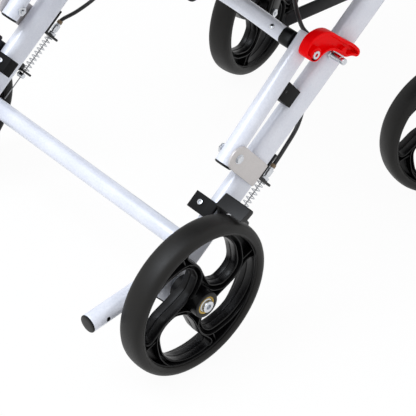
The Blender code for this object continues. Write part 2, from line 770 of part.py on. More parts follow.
def add_backrest():
    half = LEG_OUT + 0.024 - POST_R - GAP
    behind = -BACK_EDGE

    def place(across, along, thick):
        return at(1, across, *post_place(along, behind + thick))

    cushion("backrest", place, half, BACK_FROM, BACK_TO, 2 * BACK_EDGE, BACK_CROWN,
            "cloth", at(1, 0, 0, POST_FOOT_Z), ribs=2)


# Back frame

def post_out():
    return SIDE_PLATE_FACE + GAP + POST_R


def add_back_posts():
    for name, side in SIDES.items():
        out = post_out()
        top = post_place(POST_LEN)
        corners = [at(side, out, *post_place(-0.018)), at(side, out, *top),
                   at(side, out, HANDLE_END + 0.004, top[1])]
        origin = at(side, out, 0, POST_FOOT_Z)
        post = tube(f"back_post_{name}", bent(corners, [HANDLE_BEND], 5), POST_R, "silver",
                    16, origin)
        weld(post, disc(f"post_bolt_{name}", side, out + POST_R - 0.001, out + POST_R + 0.003,
                        0, POST_FOOT_Z, 0.007, "steel"))
        add_grip(name, side, out, top[1])


def add_grip(name, side, out, up):
    """Rubber sleeve on the handle, with the brake lever's clamp at its front end."""
    bore = POST_R + GAP
    start = HANDLE_END + GRIP_LEN
    outline = [(0, bore), (0, GRIP_R), (GRIP_LEN * 0.5, GRIP_R + 0.001), (GRIP_LEN, GRIP_R),
               (GRIP_LEN, bore)]
    centre = at(side, out, start, up)
    grip = turned(f"push_grip_{name}", outline, centre, Vector((0, 1, 0)), "rubber", 14)
    pivot_fwd, drop = LEVER_PIVOT
    low, high = start - 0.004, start + 0.012
    body = [at(side, out, fwd, up) for fwd in (low, high)]
    collar = tube(f"lever_clamp_{name}", body, 0.0150, "black", 14)
    lug_front = pivot_fwd + LUG_AHEAD
    lug_outline = [(pivot_fwd - 0.006, up + drop - 0.006), (lug_front, up + drop - 0.006),
                   (lug_front, up - 0.010), (pivot_fwd - 0.006, up - 0.010)]

    def place(a, b, depth):
        return at(side, out + depth, a, b)

    lug = slab(f"lever_lug_{name}", lug_outline, place, -0.0035, 0.0035, "black")
    bore_path = [at(side, out, fwd, up) for fwd in (low - 0.03, high + 0.03)]
    weld(grip, collar, lug)
    cut(grip, tube(f"grip_bore_{name}", bore_path, bore / math.cos(math.pi / 14), "black", 14))


def add_hand_levers():
    """Brake levers that swing up towards the grips."""
    for name, side in SIDES.items():
        out = post_out()
        up = post_place(POST_LEN)[1]
        pivot = (LEVER_PIVOT[0] + 0.002, up + LEVER_PIVOT[1])
        tail = pivot[0] - LEVER_REACH
        blade = [(pivot[0] + 0.007, pivot[1] - 0.008), (pivot[0] + 0.006, pivot[1] + 0.002),
                 (pivot[0] - 0.008, pivot[1] + 0.001), (pivot[0] - 0.030, pivot[1] - 0.009),
                 (tail + 0.012, pivot[1] - 0.0175), (tail, pivot[1] - 0.022),
                 (tail, pivot[1] - 0.028), (pivot[0] - 0.034, pivot[1] - 0.0195)]
        origin = at(side, out, *pivot)

        def place(a, b, depth):
            return at(side, out + depth, a, b)

        lever = slab(f"brake_lever_{name}", blade, place, -0.008, 0.008, "black", origin)
        slot = [(pivot[0] - 0.022, up - 0.040), (pivot[0] + 0.02, up - 0.040),
                (pivot[0] + 0.02, up), (pivot[0] - 0.022, up)]
        cut(lever, slab(f"lever_slot_{name}", slot, place, -0.0042, 0.0042, "black"))


# Armrests

def arm_bar_out():
    return post_out() + POST_R + 0.0005


def add_armrests():
    rear = post_place(ARM_UP_POST)
    front = (rear[0] + STRUT_FWD, rear[1])
    out = post_out()
    bar_out = arm_bar_out()
    for name, side in SIDES.items():
        strut_ends = [at(side, out, STRUT_FWD + 0.002, POST_FOOT_Z - 0.014),
                      at(side, out, front[0] - 0.002, front[1] + 0.014)]
        strut = tube(f"armrest_strut_{name}", strut_ends, POST_R, "silver", 16,
                     at(side, out, STRUT_FWD, POST_FOOT_Z))
        weld(strut, disc(f"strut_bolt_{name}", side, out + POST_R - 0.001, out + POST_R + 0.003,
                         STRUT_FWD, POST_FOOT_Z, 0.007, "steel"))
        outline = arc(rear, ARM_BAR_HALF_H, math.pi / 2, 3 * math.pi / 2, 6)
        outline += arc((front[0] + ARM_BAR_FRONT - 0.012, front[1]), ARM_BAR_HALF_H,
                       -math.pi / 2, math.pi / 2, 6)

        def place(a, b, depth):
            return at(side, depth, a, b)

        bar = slab(f"armrest_bar_{name}", outline, place, bar_out, bar_out + ARM_BAR_THICK,
                   "silver", at(side, bar_out, *rear))
        for k, spot in enumerate((rear, front)):
            weld(bar, disc(f"arm_bolt_{name}_{k}", side, bar_out + ARM_BAR_THICK - 0.001,
                           bar_out + ARM_BAR_THICK + 0.003, *spot, 0.007, "steel"))
        add_arm_pad(name, side, bar_out, rear)


def add_arm_pad(name, side, bar_out, rear):
    base = rear[1] + ARM_BAR_HALF_H + GAP
    rings = []
    for fwd, inset in ((PAD_FROM, 0.004), (PAD_FROM + 0.006, 0.0), (PAD_TO - 0.010, 0.0),
                       (PAD_TO, 0.005)):
        outline = rounded_box(PAD_W / 2 - inset / 2, PAD_H / 2 - inset / 2, 0.006)
        rings.append([at(side, bar_out + PAD_W / 2 + a, fwd,
                         base + PAD_H / 2 - inset / 2 + b) for a, b in outline])
    loft(f"armrest_pad_{name}", rings, "rubber", at(side, bar_out, *rear))


# Brakes

def add_brake_arms():
    """Lever plate, shoe over the tyre and cable tab, in one folded piece."""
    plate_in = LEG_HALF_W + 0.001 + GAP
    plate_out = plate_in + ARM_PLATE_THICK
    under = arc((0, 0), WHEEL_R + SHOE_CLEAR, math.radians(18), math.radians(12), 3)
    shoe = [*under, (SHOE_TO - 0.002, 0.0195), (SHOE_TO, 0.0220), (SHOE_TO, 0.0275)]
    tab_end = CABLE_OVER - 0.009
    plate = [(TAB_ALONG, tab_end), (TAB_ALONG + 0.009, tab_end), (BRAKE_ALONG + 0.013, -0.014),
             (SHOE_TO - 0.004, 0.003), (SHOE_TO - 0.004, 0.026), (SHOE_TO - 0.015, 0.030),
             (BRAKE_ALONG - 0.005, 0.013), (BRAKE_ALONG - 0.009, BRAKE_OVER),
             (BRAKE_ALONG - 0.005, -0.007)]
    for name, side in SIDES.items():
        def place(a, b, depth):
            return on_leg(side, LEG_OUT + depth, a, b)
        origin = on_leg(side, LEG_OUT + plate_in, BRAKE_ALONG, BRAKE_OVER)
        arm = slab(f"brake_arm_{name}", plate, place, plate_in, plate_out, "black", origin)
        bar = slab(f"brake_shoe_{name}", shoe, place, plate_in + 0.001,
                   SHOE_OUT - LEG_OUT, "black")
        tab_in = CABLE_OUT - LEG_OUT - 0.007
        tab = [(tab_in, CABLE_OVER - 0.0088), (plate_out - 0.001, CABLE_OVER - 0.0088),
               (plate_out - 0.001, CABLE_OVER + 0.008), (tab_in, CABLE_OVER + 0.008)]

        def tab_place(a, b, depth):
            return on_leg(side, LEG_OUT + a, depth, b)

        shelf = slab(f"brake_tab_{name}", tab, tab_place, TAB_ALONG + 0.0002,
                     TAB_ALONG + TAB_THICK, "black")
        ends = [place(BRAKE_ALONG, BRAKE_OVER, depth) for depth in (plate_out - 0.001,
                                                                   plate_out + 0.002)]
        weld(arm, bar, shelf, tube(f"brake_bolt_{name}", ends, 0.006, "steel", 12))


def add_brake_mounts():
    """Angle bracket over the inner edge of each leg, behind the brake arm's pivot."""
    inner = -LEG_HALF_W - GAP
    top = LEG_HALF_H + GAP
    outline = [(LEG_HALF_W, top), (LEG_HALF_W, top + 0.004), (-0.0005, top + 0.0065),
               (-0.0235, top + 0.0065), (-0.0235, 0.008), (inner - 0.004, 0.008),
               (inner - 0.004, -0.012), (inner, -0.012), (inner, top)]
    for name, side in SIDES.items():
        def place(a, b, depth):
            return on_leg(side, LEG_OUT + a, depth, b)
        slab(f"brake_mount_{name}", outline, place, *MOUNT_ALONG, "black")


def add_cable_stops():
    """Angle bracket under each leg with the cable's barrel adjuster on it."""
    top = -LEG_HALF_H - GAP
    profile = [(STOP_ALONG, CABLE_OVER - 0.010), (STOP_ALONG + STOP_THICK, CABLE_OVER - 0.010),
               (STOP_ALONG + STOP_THICK, top - STOP_THICK),
               (STOP_ALONG + STOP_STRAP, top - STOP_THICK),
               (STOP_ALONG + STOP_STRAP, top), (STOP_ALONG, top)]
    for name, side in SIDES.items():
        def place(a, b, depth):
            return on_leg(side, CABLE_OUT + depth, a, b)
        stop = slab(f"cable_stop_{name}", profile, place, -0.007, 0.007, "black")
        ends = [on_leg(side, CABLE_OUT, along, CABLE_OVER)
                for along in (STOP_ALONG + 0.001, STOP_ALONG + STOP_THICK + BARREL_LEN)]
        weld(stop, tube(f"barrel_{name}", ends, BARREL_R, "steel", 12))


def spring_span():
    return TAB_ALONG + TAB_THICK + GAP, STOP_ALONG - GAP


def add_brake_springs():
    """Open coil springs from each cable stop to its brake arm's tab."""
    low, high = spring_span()
    straight = 2 * SPRING_WIRE_R
    turns = SPRING_CURLS * POINTS_PER_CURL
    for name, side in SIDES.items():
        points = []
        for i in range(turns + 1):
            turn = math.tau * i / POINTS_PER_CURL
            along = low + straight + (high - low - 2 * straight) * i / turns
            points.append(on_leg(side, CABLE_OUT + SPRING_R * math.cos(turn), along,
                                 CABLE_OVER + SPRING_R * math.sin(turn)))
        first = on_leg(side, CABLE_OUT + SPRING_R, low, CABLE_OVER)
        last = on_leg(side, CABLE_OUT + SPRING_R, high, CABLE_OVER)
        curve_tube(f"brake_spring_{name}", [first, *points, last], SPRING_WIRE_R, "steel", 1)
    pitch = (high - low - 2 * straight) / SPRING_CURLS
    print(f"spring: least gap to itself {(pitch - 2 * SPRING_WIRE_R) * 1000:.2f} mm")


def curve_tube(name, points, radius, colour, resolution):
    """A capped tube on a poly curve."""
    data = bpy.data.curves.new(name, "CURVE")
    data.dimensions = "3D"
    data.bevel_depth = radius
    data.bevel_resolution = resolution
    data.render_resolution_u = 0
    data.use_fill_caps = True
    spline = data.splines.new("POLY")
    spline.points.add(len(points) - 1)
    for slot, point in zip(spline.points, points):
        slot.co = (*point, 1.0)
    data.materials.append(finish_of(colour))
    obj = bpy.data.objects.new(name, data)
    bpy.context.scene.collection.objects.link(obj)
    return obj


def smooth_route(first, route, last, step):
    """Points at an even step on a smooth curve, with a short straight lead at each end."""
    anchors = [first[1], *route, last[0]]
    ends = [first[0], *anchors, last[1]]
    fine = []
    for i in range(1, len(ends) - 2):
        p0, p1, p2, p3 = ends[i - 1:i + 3]
        for k in range(24):
            t = k / 24
            fine.append(0.5 * (2 * p1 + (p2 - p0) * t + (2 * p0 - 5 * p1 + 4 * p2 - p3) * t * t
                               + (3 * p1 - p0 - 3 * p2 + p3) * t ** 3))
    fine.append(anchors[-1])
    length = sum((b - a).length for a, b in zip(fine, fine[1:]))
    count = max(2, round(length / step))
    points, travelled, target = [fine[0]], 0.0, length / count
    for a, b in zip(fine, fine[1:]):
        span = (b - a).length
        while travelled + span >= target and len(points) < count:
            points.append(a.lerp(b, (target - travelled) / span))
            target += length / count
        travelled += span
    points = [first[0], *points, fine[-1], last[1]]
    return points, length + (first[1] - first[0]).length + (last[1] - last[0]).length


def lower_route(side):
    points = [on_leg(side, LEG_OUT + off, along, over) for off, along, over in CABLE_UP_LEG]
    low = points[-1].z
    for off, fwd, share in CABLE_TO_RAIL:
        points.append(at(side, LEG_OUT + off, fwd, low + share * (RAIL_Z - low)))
    return points


def upper_route(side):
    points = [at(side, LEG_OUT + off, fwd, RAIL_Z + up) for off, fwd, up in CABLE_ROUND_RAIL]
    for share, ahead in CABLE_UP_POST:
        points.append(at(side, post_out(), *post_place(share * POST_LEN, ahead)))
    return points


def add_brake_cables():
    """Cable housings, whole from the barrel adjusters to the hand levers."""
    barrel_top = STOP_ALONG + STOP_THICK + BARREL_LEN + GAP
    up = post_place(POST_LEN)[1] + LEVER_PIVOT[1]
    lug_face = LEVER_PIVOT[0] + LUG_AHEAD + GAP
    for name, side in SIDES.items():
        foot = [on_leg(side, CABLE_OUT, barrel_top + d, CABLE_OVER) for d in (0, CABLE_LEAD)]
        out, fwd, height = CABLE_MEET
        meet = [at(side, out, fwd + d, height) for d in (CABLE_LEAD, 0)]
        points, low_length = smooth_route(foot, lower_route(side), meet, CABLE_STEP)
        curve_tube(f"brake_cable_lower_{name}", points, CABLE_R, "black", 2)
        meet = [at(side, out, fwd - d, height) for d in (GAP, CABLE_LEAD)]
        head = [at(side, post_out(), lug_face + d, up) for d in (CABLE_LEAD, 0)]
        points, up_length = smooth_route(meet, upper_route(side), head, CABLE_STEP)
        curve_tube(f"brake_cable_upper_{name}", points, CABLE_R, "black", 2)
        print(f"cable {name}: {low_length:.3f} m and {up_length:.3f} m")


def main():
    clear_scene()
    add_rear_wheels()
    add_casters()
    add_rear_legs()
    add_crossbar()
    add_pivot_brackets()
    add_saddles()
    add_lock_frame()
    add_latch_levers()
    add_side_frames()
    add_front_cross_tube()
    add_fold_links()
    add_footrests()
    add_seat()
    add_backrest()
    add_back_posts()
    add_hand_levers()
    add_armrests()
    add_brake_arms()
    add_brake_mounts()
    add_cable_stops()
    add_brake_springs()
    add_brake_cables()


main()
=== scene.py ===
# %% [markdown]
# # A folding transit wheelchair, dressed for a picture
# The chair's solids come from its CAD model, already placed and jointed. This lesson gives
# every one of them its real surface. Each new piece is worked out with numpy as a grid of
# points, and each finish starts from what the real material is and how it was made.

# %% Load the chair's solids
import math

import bpy
import numpy as np
from mathutils import Matrix, Vector


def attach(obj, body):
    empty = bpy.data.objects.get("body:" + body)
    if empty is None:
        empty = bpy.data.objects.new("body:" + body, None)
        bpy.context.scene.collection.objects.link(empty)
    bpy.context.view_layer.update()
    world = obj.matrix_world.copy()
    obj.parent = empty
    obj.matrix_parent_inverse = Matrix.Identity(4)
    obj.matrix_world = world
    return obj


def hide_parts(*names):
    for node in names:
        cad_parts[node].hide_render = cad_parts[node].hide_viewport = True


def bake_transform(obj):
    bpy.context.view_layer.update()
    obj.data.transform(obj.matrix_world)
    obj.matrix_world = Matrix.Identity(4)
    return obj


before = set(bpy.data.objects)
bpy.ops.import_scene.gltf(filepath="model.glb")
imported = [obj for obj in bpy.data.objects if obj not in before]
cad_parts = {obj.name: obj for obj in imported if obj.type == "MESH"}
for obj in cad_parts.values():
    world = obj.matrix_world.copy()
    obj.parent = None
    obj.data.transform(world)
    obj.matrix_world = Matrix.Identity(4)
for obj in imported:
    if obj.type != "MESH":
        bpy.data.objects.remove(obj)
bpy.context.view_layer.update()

# %% [markdown]
# ## Where things are
# The chair faces -Y. A place is (side, out, fwd, up): side is -1 for the chair's right, out
# is the distance from its middle and fwd the distance ahead of the rear axle. Along a rear
# leg, a place is (along, over): along its axis from the rear axle, and over it to the back.
# With a small clearance the leg is LEG_HALF to its side and OVAL_TOP to its top, and plates
# that swing beside it start at LEG_SIDE.
# The same two ways of naming a place were used for the solids, so nothing needs fitting.

# %% Places on the chair
SIDES = {"right": -1, "left": 1}
AXLE_Y = 0.315
WHEEL_R = 0.100
LEG_ANGLE = math.radians(43.8)
LEG_OUT = 0.190
LEG_HALF, LEG_SIDE, OVAL_TOP = 0.0103, 0.0113, 0.0183
RAIL_Z = 0.480


def at(side, out, fwd, up):
    """Out, fwd and up as points in the chair's frame; any of them may be an array."""
    out, fwd, up = np.broadcast_arrays(np.asarray(out, float), fwd, up)
    return np.stack([side * out, AXLE_Y - fwd, up + 0.0 * out], -1)


def on_leg(side, out, along, over):
    """Along and over a rear leg, turned by the leg's angle about the rear axle."""
    along, over = np.asarray(along, float), np.asarray(over, float)
    fwd = along * math.cos(LEG_ANGLE) - over * math.sin(LEG_ANGLE)
    up = WHEEL_R + along * math.sin(LEG_ANGLE) + over * math.cos(LEG_ANGLE)
    return at(side, out, fwd, up)


LOCK_TILT = math.radians(4.2)
PIVOT = (0.153, 0.048)


def lock_place(distance, off=0.0):
    """(along, over) at a distance up the lock tube from its pivot, and off its axis."""
    along = PIVOT[0] + distance * math.cos(LOCK_TILT) - off * math.sin(LOCK_TILT)
    over = PIVOT[1] + distance * math.sin(LOCK_TILT) + off * math.cos(LOCK_TILT)
    return along, over


RECLINE = math.radians(10)
POST_FOOT_Z = RAIL_Z + 0.025


def post_place(distance, off=0.0):
    """(fwd, up) at a distance up the back post from its pivot, and off ahead of it."""
    fwd = -distance * math.sin(RECLINE) + off * math.cos(RECLINE)
    up = POST_FOOT_Z + distance * math.cos(RECLINE) + off * math.sin(RECLINE)
    return fwd, up


# %% [markdown]
# ## Surfaces from arrays
# Every piece is one or more closed skins. A skin is a grid of points: rows run along the
# piece and columns run round it. Working out all points at once keeps the formula in sight,
# and the faces follow from the grid's own order. A skin that came out with its faces
# pointing in has a negative volume, so the sign of the volume says when to turn it.

# %% Skins and pieces
def skin(grid, loop=False):
    """Quads over a grid (rows, columns, 3), its last column joined to its first. loop joins
    the last row to the first too; without it one face closes each of the two end rows."""
    rows, columns = grid.shape[:2]
    index = np.arange(rows * columns).reshape(rows, columns)
    wide = np.hstack([index, index[:, :1]])
    tall = np.vstack([wide, wide[:1]]) if loop else wide
    quads = np.stack([tall[:-1, :-1], tall[:-1, 1:], tall[1:, 1:], tall[1:, :-1]], -1)
    faces = quads.reshape(-1, 4).tolist()
    if not loop:
        faces += [index[0][::-1].tolist(), index[-1].tolist()]
    return outward(grid.reshape(-1, 3), faces)


def outward(points, faces):
    """Turns the faces round if the volume they enclose is negative."""
    volume = 0.0
    for size in {len(face) for face in faces}:
        group = points[np.array([face for face in faces if len(face) == size])]
        for k in range(1, size - 1):
            cross = np.cross(group[:, k], group[:, k + 1])
            volume += float(np.einsum("ij,ij->", group[:, 0], cross))
    return points, [face[::-1] for face in faces] if volume < 0 else faces


def in_scene(name, data):
    """A new object in the scene that shows this mesh, camera or lamp."""
    made = bpy.data.objects.new(name, data)
    bpy.context.scene.collection.objects.link(made)
    return made


def piece(name, skins, material, body, replaces=(), smooth=35):
    """One mesh object from several skins, riding on a body of the chair. replaces names the
    solids it stands for."""
    points, faces, start = [], [], 0
    for skin_points, skin_faces in skins:
        points.append(skin_points)
        faces += [[i + start for i in face] for face in skin_faces]
        start += len(skin_points)
    mesh = bpy.data.meshes.new(name)
    mesh.from_pydata(np.concatenate(points).tolist(), [], faces)
    mesh.materials.append(material)
    mesh.shade_smooth()
    mesh.set_sharp_from_angle(angle=math.radians(smooth))
    made = in_scene(name, mesh)
    if body:
        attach(made, body)
    if replaces:
        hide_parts(*replaces)
    return made


# %% [markdown]
# ## Outlines
# Sheet and moulded parts start from a flat outline. Real corners are never sharp, so each
# corner is eased with a short curve, and each edge is rolled over by drawing the outline in
# as the surface turns to the flat face.

# %% Outlines
def circle(radius, sides=40):
    turn = np.arange(sides) * math.tau / sides
    return radius * np.stack([np.cos(turn), np.sin(turn)], -1)


def arc(centre, radius, first, last, steps=16):
    turn = np.linspace(first, last, steps + 1)
    return np.stack([centre[0] + radius * np.cos(turn), centre[1] + radius * np.sin(turn)], -1)


def eased(corners, radius, steps=5):
    """A closed outline whose corners are cut back by radius and bridged by a parabola."""
    corners = np.asarray(corners, float)
    ahead, behind = np.roll(corners, -1, 0) - corners, np.roll(corners, 1, 0) - corners
    far_ahead, far_behind = np.linalg.norm(ahead, axis=1), np.linalg.norm(behind, axis=1)
    cut = np.minimum(np.broadcast_to(radius, far_ahead.shape),
                     0.45 * np.minimum(far_ahead, far_behind))
    first = corners + behind * (cut / far_behind)[:, None]
    last = corners + ahead * (cut / far_ahead)[:, None]
    t = np.linspace(0, 1, steps)[None, :, None]
    curve = (first[:, None] * (1 - t) ** 2 + 2 * corners[:, None] * t * (1 - t)
             + last[:, None] * t ** 2)
    return curve.reshape(-1, 2)


def box_outline(half_a, half_b, corner, steps=6):
    """A rectangle with round corners."""
    quarter = math.pi / 2
    corners = []
    for i, (sa, sb) in enumerate(((1, 1), (-1, 1), (-1, -1), (1, -1))):
        centre = (sa * (half_a - corner), sb * (half_b - corner))
        corners.append(arc(centre, corner, i * quarter, (i + 1) * quarter, steps))
    return np.concatenate(corners)


def normals_of(outline):
    """The direction square to the outline at each of its points."""
    along = np.roll(outline, -1, 0) - np.roll(outline, 1, 0)
    along /= np.maximum(np.linalg.norm(along, axis=1, keepdims=True), 1e-9)
    return np.stack([along[:, 1], -along[:, 0]], -1)


def drawn_in(outline, amount):
    """The outline moved inwards along its own normals."""
    area = np.sum(outline[:, 0] * np.roll(outline[:, 1], -1)
                  - np.roll(outline[:, 0], -1) * outline[:, 1])
    return outline - normals_of(outline) * amount * (1 if area > 0 else -1)


EDGE_TURN = np.linspace(0, math.pi / 2, 4)


def rolled_wall(low, high, edge):
    """(depth, inset) of the rows up a wall whose two edges are rolled over."""
    roll = [(edge * (1 - math.cos(t)), edge * (1 - math.sin(t))) for t in EDGE_TURN]
    return ([(low + depth, inset) for depth, inset in roll]
            + [(high - depth, inset) for depth, inset in reversed(roll)])


def plate(outline, place, low, high, edge=0.0006):
    """A flat part with rolled edges: place(a, b, depth) puts the outline in the chair."""
    grid = []
    for depth, inset in rolled_wall(low, high, edge):
        shape = drawn_in(outline, inset)
        grid.append(place(shape[:, 0], shape[:, 1], depth))
    return skin(np.array(grid))


# %% [markdown]
# ## Tubes, turned parts and bolts
# Most of a wheelchair is bent tube. A profile carried along a path gives any of them: at each
# point of the path two directions square to it hold the profile. A turned part is a profile
# carried round an axis, and a bolt is a turned part whose head or socket is six-sided.

# %% Paths and turned parts
def towards(first, last):
    """The direction from one point to the next, with length 1."""
    gap = np.asarray(last, float) - np.asarray(first, float)
    return gap / np.linalg.norm(gap)


def carried(path, profile, guide):
    """profile (a, b), or one for each point of the path: a runs along the guide's direction
    made square to the path, and b is square to both."""
    path = np.asarray(path, float)
    along = np.gradient(path, axis=0)
    along /= np.linalg.norm(along, axis=1, keepdims=True)
    guide = np.broadcast_to(np.asarray(guide, float), path.shape)
    across = guide - along * np.sum(guide * along, axis=1, keepdims=True)
    across /= np.linalg.norm(across, axis=1, keepdims=True)
    upward = np.cross(along, across)
    profile = np.broadcast_to(profile, (len(path), *np.shape(profile)[-2:]))
    return (path[:, None] + profile[..., :1] * across[:, None]
            + profile[..., 1:] * upward[:, None])


def bar(path, outline, guide, edge=0.0008):
    """A solid bar with this outline along a path, both ends rolled over."""
    path = np.asarray(path, float)
    ends = []
    for tip, inner in ((path[0], path[1]), (path[-1], path[-2])):
        ends.append([(tip + towards(tip, inner) * edge * (1 - math.cos(t)),
                      edge * (1 - math.sin(t))) for t in EDGE_TURN])
    rows = ends[0] + [(point, 0.0) for point in path[1:-1]] + ends[1][::-1]
    line = np.array([point for point, _ in rows])
    shapes = np.array([drawn_in(outline, inset) for _, inset in rows])
    return skin(carried(line, shapes, guide))


def bent(corners, radius, steps=12):
    """A path through corners, each inner one rounded to the radius."""
    corners = np.asarray(corners, float)
    path = [corners[0]]
    for before, corner, after in zip(corners, corners[1:], corners[2:]):
        u, v = towards(corner, before), towards(corner, after)
        half = math.acos(float(np.clip(u @ v, -1, 1))) / 2
        centre = corner + (u + v) / np.linalg.norm(u + v) * radius / math.sin(half)
        first = corner + u * radius / math.tan(half) - centre
        last = corner + v * radius / math.tan(half) - centre
        sweep = math.pi - 2 * half
        for t in np.linspace(0, 1, steps + 1):
            path.append(centre + (first * math.sin((1 - t) * sweep) + last * math.sin(t * sweep))
                        / math.sin(sweep))
    path.append(corners[-1])
    return np.array(path)


def straight(first, last, steps):
    return np.linspace(np.asarray(first, float), np.asarray(last, float), steps)


def turned(profile, centre, axis, sides=48, six=(), loop=False):
    """A profile of (axial, radius) turned about an axis; rows named in six are six-sided.
    A hole's wall needs loop, which closes the profile on itself."""
    axis = np.asarray(axis, float) / np.linalg.norm(axis)
    helper = np.array([0, 0, 1.0]) if abs(axis[2]) < 0.9 else np.array([0, 1.0, 0])
    u = np.cross(axis, helper)
    u /= np.linalg.norm(u)
    v = np.cross(axis, u)
    turn = np.arange(sides) * math.tau / sides
    flat = 1 / np.cos((turn + math.pi / 6) % (math.pi / 3) - math.pi / 6)
    grid = []
    for row, (axial, radius) in enumerate(profile):
        size = radius * (flat * math.cos(math.pi / 6) if row in six else np.ones(sides))
        spoke = np.cos(turn)[:, None] * u + np.sin(turn)[:, None] * v
        grid.append(np.asarray(centre) + axis * axial + spoke * size[:, None])
    return skin(np.array(grid), loop=loop)


DOT = 0.0001


def shank(centre, axis, low, high, radius):
    """A plain round pin from low to high along its axis."""
    return turned([(low, DOT), (low, radius), (high, radius), (high, DOT)], centre, axis)


def socket_head(centre, axis, radius, height, socket):
    """A round cap with a six-sided socket in it."""
    soft = 0.15 * radius
    profile = [(0, radius), (height - soft, radius), (height - 0.3 * soft, radius - 0.3 * soft),
               (height, radius - soft), (height, socket * 1.15), (height - 0.0004, socket),
               (height * 0.35, socket), (height * 0.30, DOT)]
    return turned(profile, centre, axis, six=(5, 6))


def dome(centre, axis, radius, height):
    """A round rivet or button head."""
    turn = np.linspace(0, math.pi / 2, 8)
    profile = [(0, radius)] + [(height * math.sin(t) ** 0.8, max(radius * math.cos(t), DOT))
                               for t in turn[1:]]
    return turned(profile, centre, axis, 40)


def nut(centre, axis, across, height, hole=None):
    """A six-sided nut with its corners turned off, and the end of its bolt showing."""
    reach = across / 2 / math.cos(math.pi / 6)
    hole = hole or across * 0.26
    profile = [(0, reach * 0.93), (height * 0.12, reach), (height * 0.88, reach),
               (height, reach * 0.90), (height, hole), (height + 0.0012, hole),
               (height + 0.0018, hole - 0.0005), (height + 0.0018, DOT)]
    return turned(profile, centre, axis, six=(0, 1, 2, 3))


# %% [markdown]
# ## Finishes
# Colours are written the way a picture shows them, as sRGB hex, and one function turns them
# into the linear light that a renderer works in. Each finish is a small tree of nodes, and
# one helper adds a node with its settings and links.

# %% Colour and nodes
def colour(code):
    """An sRGB hex code as linear red, green, blue and alpha."""
    share = np.array([int(code[i:i + 2], 16) for i in (1, 3, 5)]) / 255
    linear = np.where(share <= 0.04045, share / 12.92, ((share + 0.055) / 1.055) ** 2.4)
    return (*linear.tolist(), 1.0)


def add(tree, kind, values=None, **settings):
    """Adds one node. Settings are its own options; values are numbers for its inputs, or
    the outputs of other nodes that feed them."""
    node = tree.nodes.new("ShaderNode" + kind)
    for key, value in settings.items():
        setattr(node, key, value)
    for key, value in (values or {}).items():
        if isinstance(value, bpy.types.NodeSocket):
            tree.links.new(value, node.inputs[key])
        else:
            node.inputs[key].default_value = value
    return node


def empty_tree(block):
    """The node tree of a new material or world, cleared of its first nodes."""
    block.use_nodes = True
    block.node_tree.nodes.clear()
    return block.node_tree


def finish(name, shader_values, grain, shades, rough, bump, bumps=None):
    """A Principled finish. grain is the pattern's size in metres, shades the two colours it
    mixes, rough the two roughnesses, and bump how deep it stands in metres."""
    material = bpy.data.materials.new(name)
    tree = empty_tree(material)
    place = add(tree, "TexCoord").outputs["Object"]
    noise = add(tree, "TexNoise", {"Vector": place, "Scale": 1 / grain, "Detail": 4.0,
                                   "Roughness": 0.6}).outputs["Fac"]
    broad = add(tree, "TexNoise", {"Vector": place, "Scale": 0.06 / grain,
                                   "Detail": 3.0}).outputs["Fac"]
    mixed = add(tree, "Math", {0: noise, 1: broad}, operation="ADD").outputs[0]
    share = add(tree, "MapRange", {"Value": mixed, "From Min": 0.7, "From Max": 1.3}).outputs[0]
    tint = add(tree, "Mix", {"Factor": share, "A": colour(shades[0]), "B": colour(shades[1])},
               data_type="RGBA").outputs["Result"]
    gloss = add(tree, "MapRange", {"Value": share, "To Min": rough[0],
                                   "To Max": rough[1]}).outputs[0]
    height = bumps(tree, place, noise) if bumps else noise
    normal = add(tree, "Bump", {"Height": height, "Distance": bump, "Strength": 1.0}).outputs[0]
    shader = add(tree, "BsdfPrincipled", {"Base Color": tint, "Roughness": gloss,
                                          "Normal": normal, **shader_values})
    add(tree, "OutputMaterial", {"Surface": shader.outputs[0]})
    return material


# %% [markdown]
# The frame is aluminium tube with a pearl silver powder coat: the powder melts into a thin
# skin with a faint orange-peel wave and mica flakes that lift the highlights. It reads as a
# cool white with soft, broad reflections.

# %% Frame finishes
PEARL = finish("pearl_powder_coat",
               {"Metallic": 0.12, "Coat Weight": 0.35, "Coat Roughness": 0.18},
               0.0022, ("#d6dae6", "#e6e9f2"), (0.30, 0.40), 0.00004)
SATIN_ZINC = finish("satin_zinc_plate", {"Metallic": 0.35},
                    0.0016, ("#c6c2c1", "#d3cfce"), (0.42, 0.55), 0.00003)
BRIGHT_ZINC = finish("bright_zinc_plating", {"Metallic": 1.0},
                     0.0010, ("#b9bcc2", "#dfe2e6"), (0.16, 0.34), 0.00003)
BRASS = finish("yellow_chromate_bearing", {"Metallic": 1.0},
               0.0012, ("#8d7434", "#c2a65a"), (0.25, 0.42), 0.00003)
WIRE = finish("drawn_steel_wire", {"Metallic": 1.0},
              0.0010, ("#77787c", "#a3a5a9"), (0.25, 0.40), 0.00002)
BLACK_PAINT = finish("black_powder_coat", {"Specular IOR Level": 0.30},
                     0.0011, ("#09090a", "#111113"), (0.38, 0.52), 0.00008)
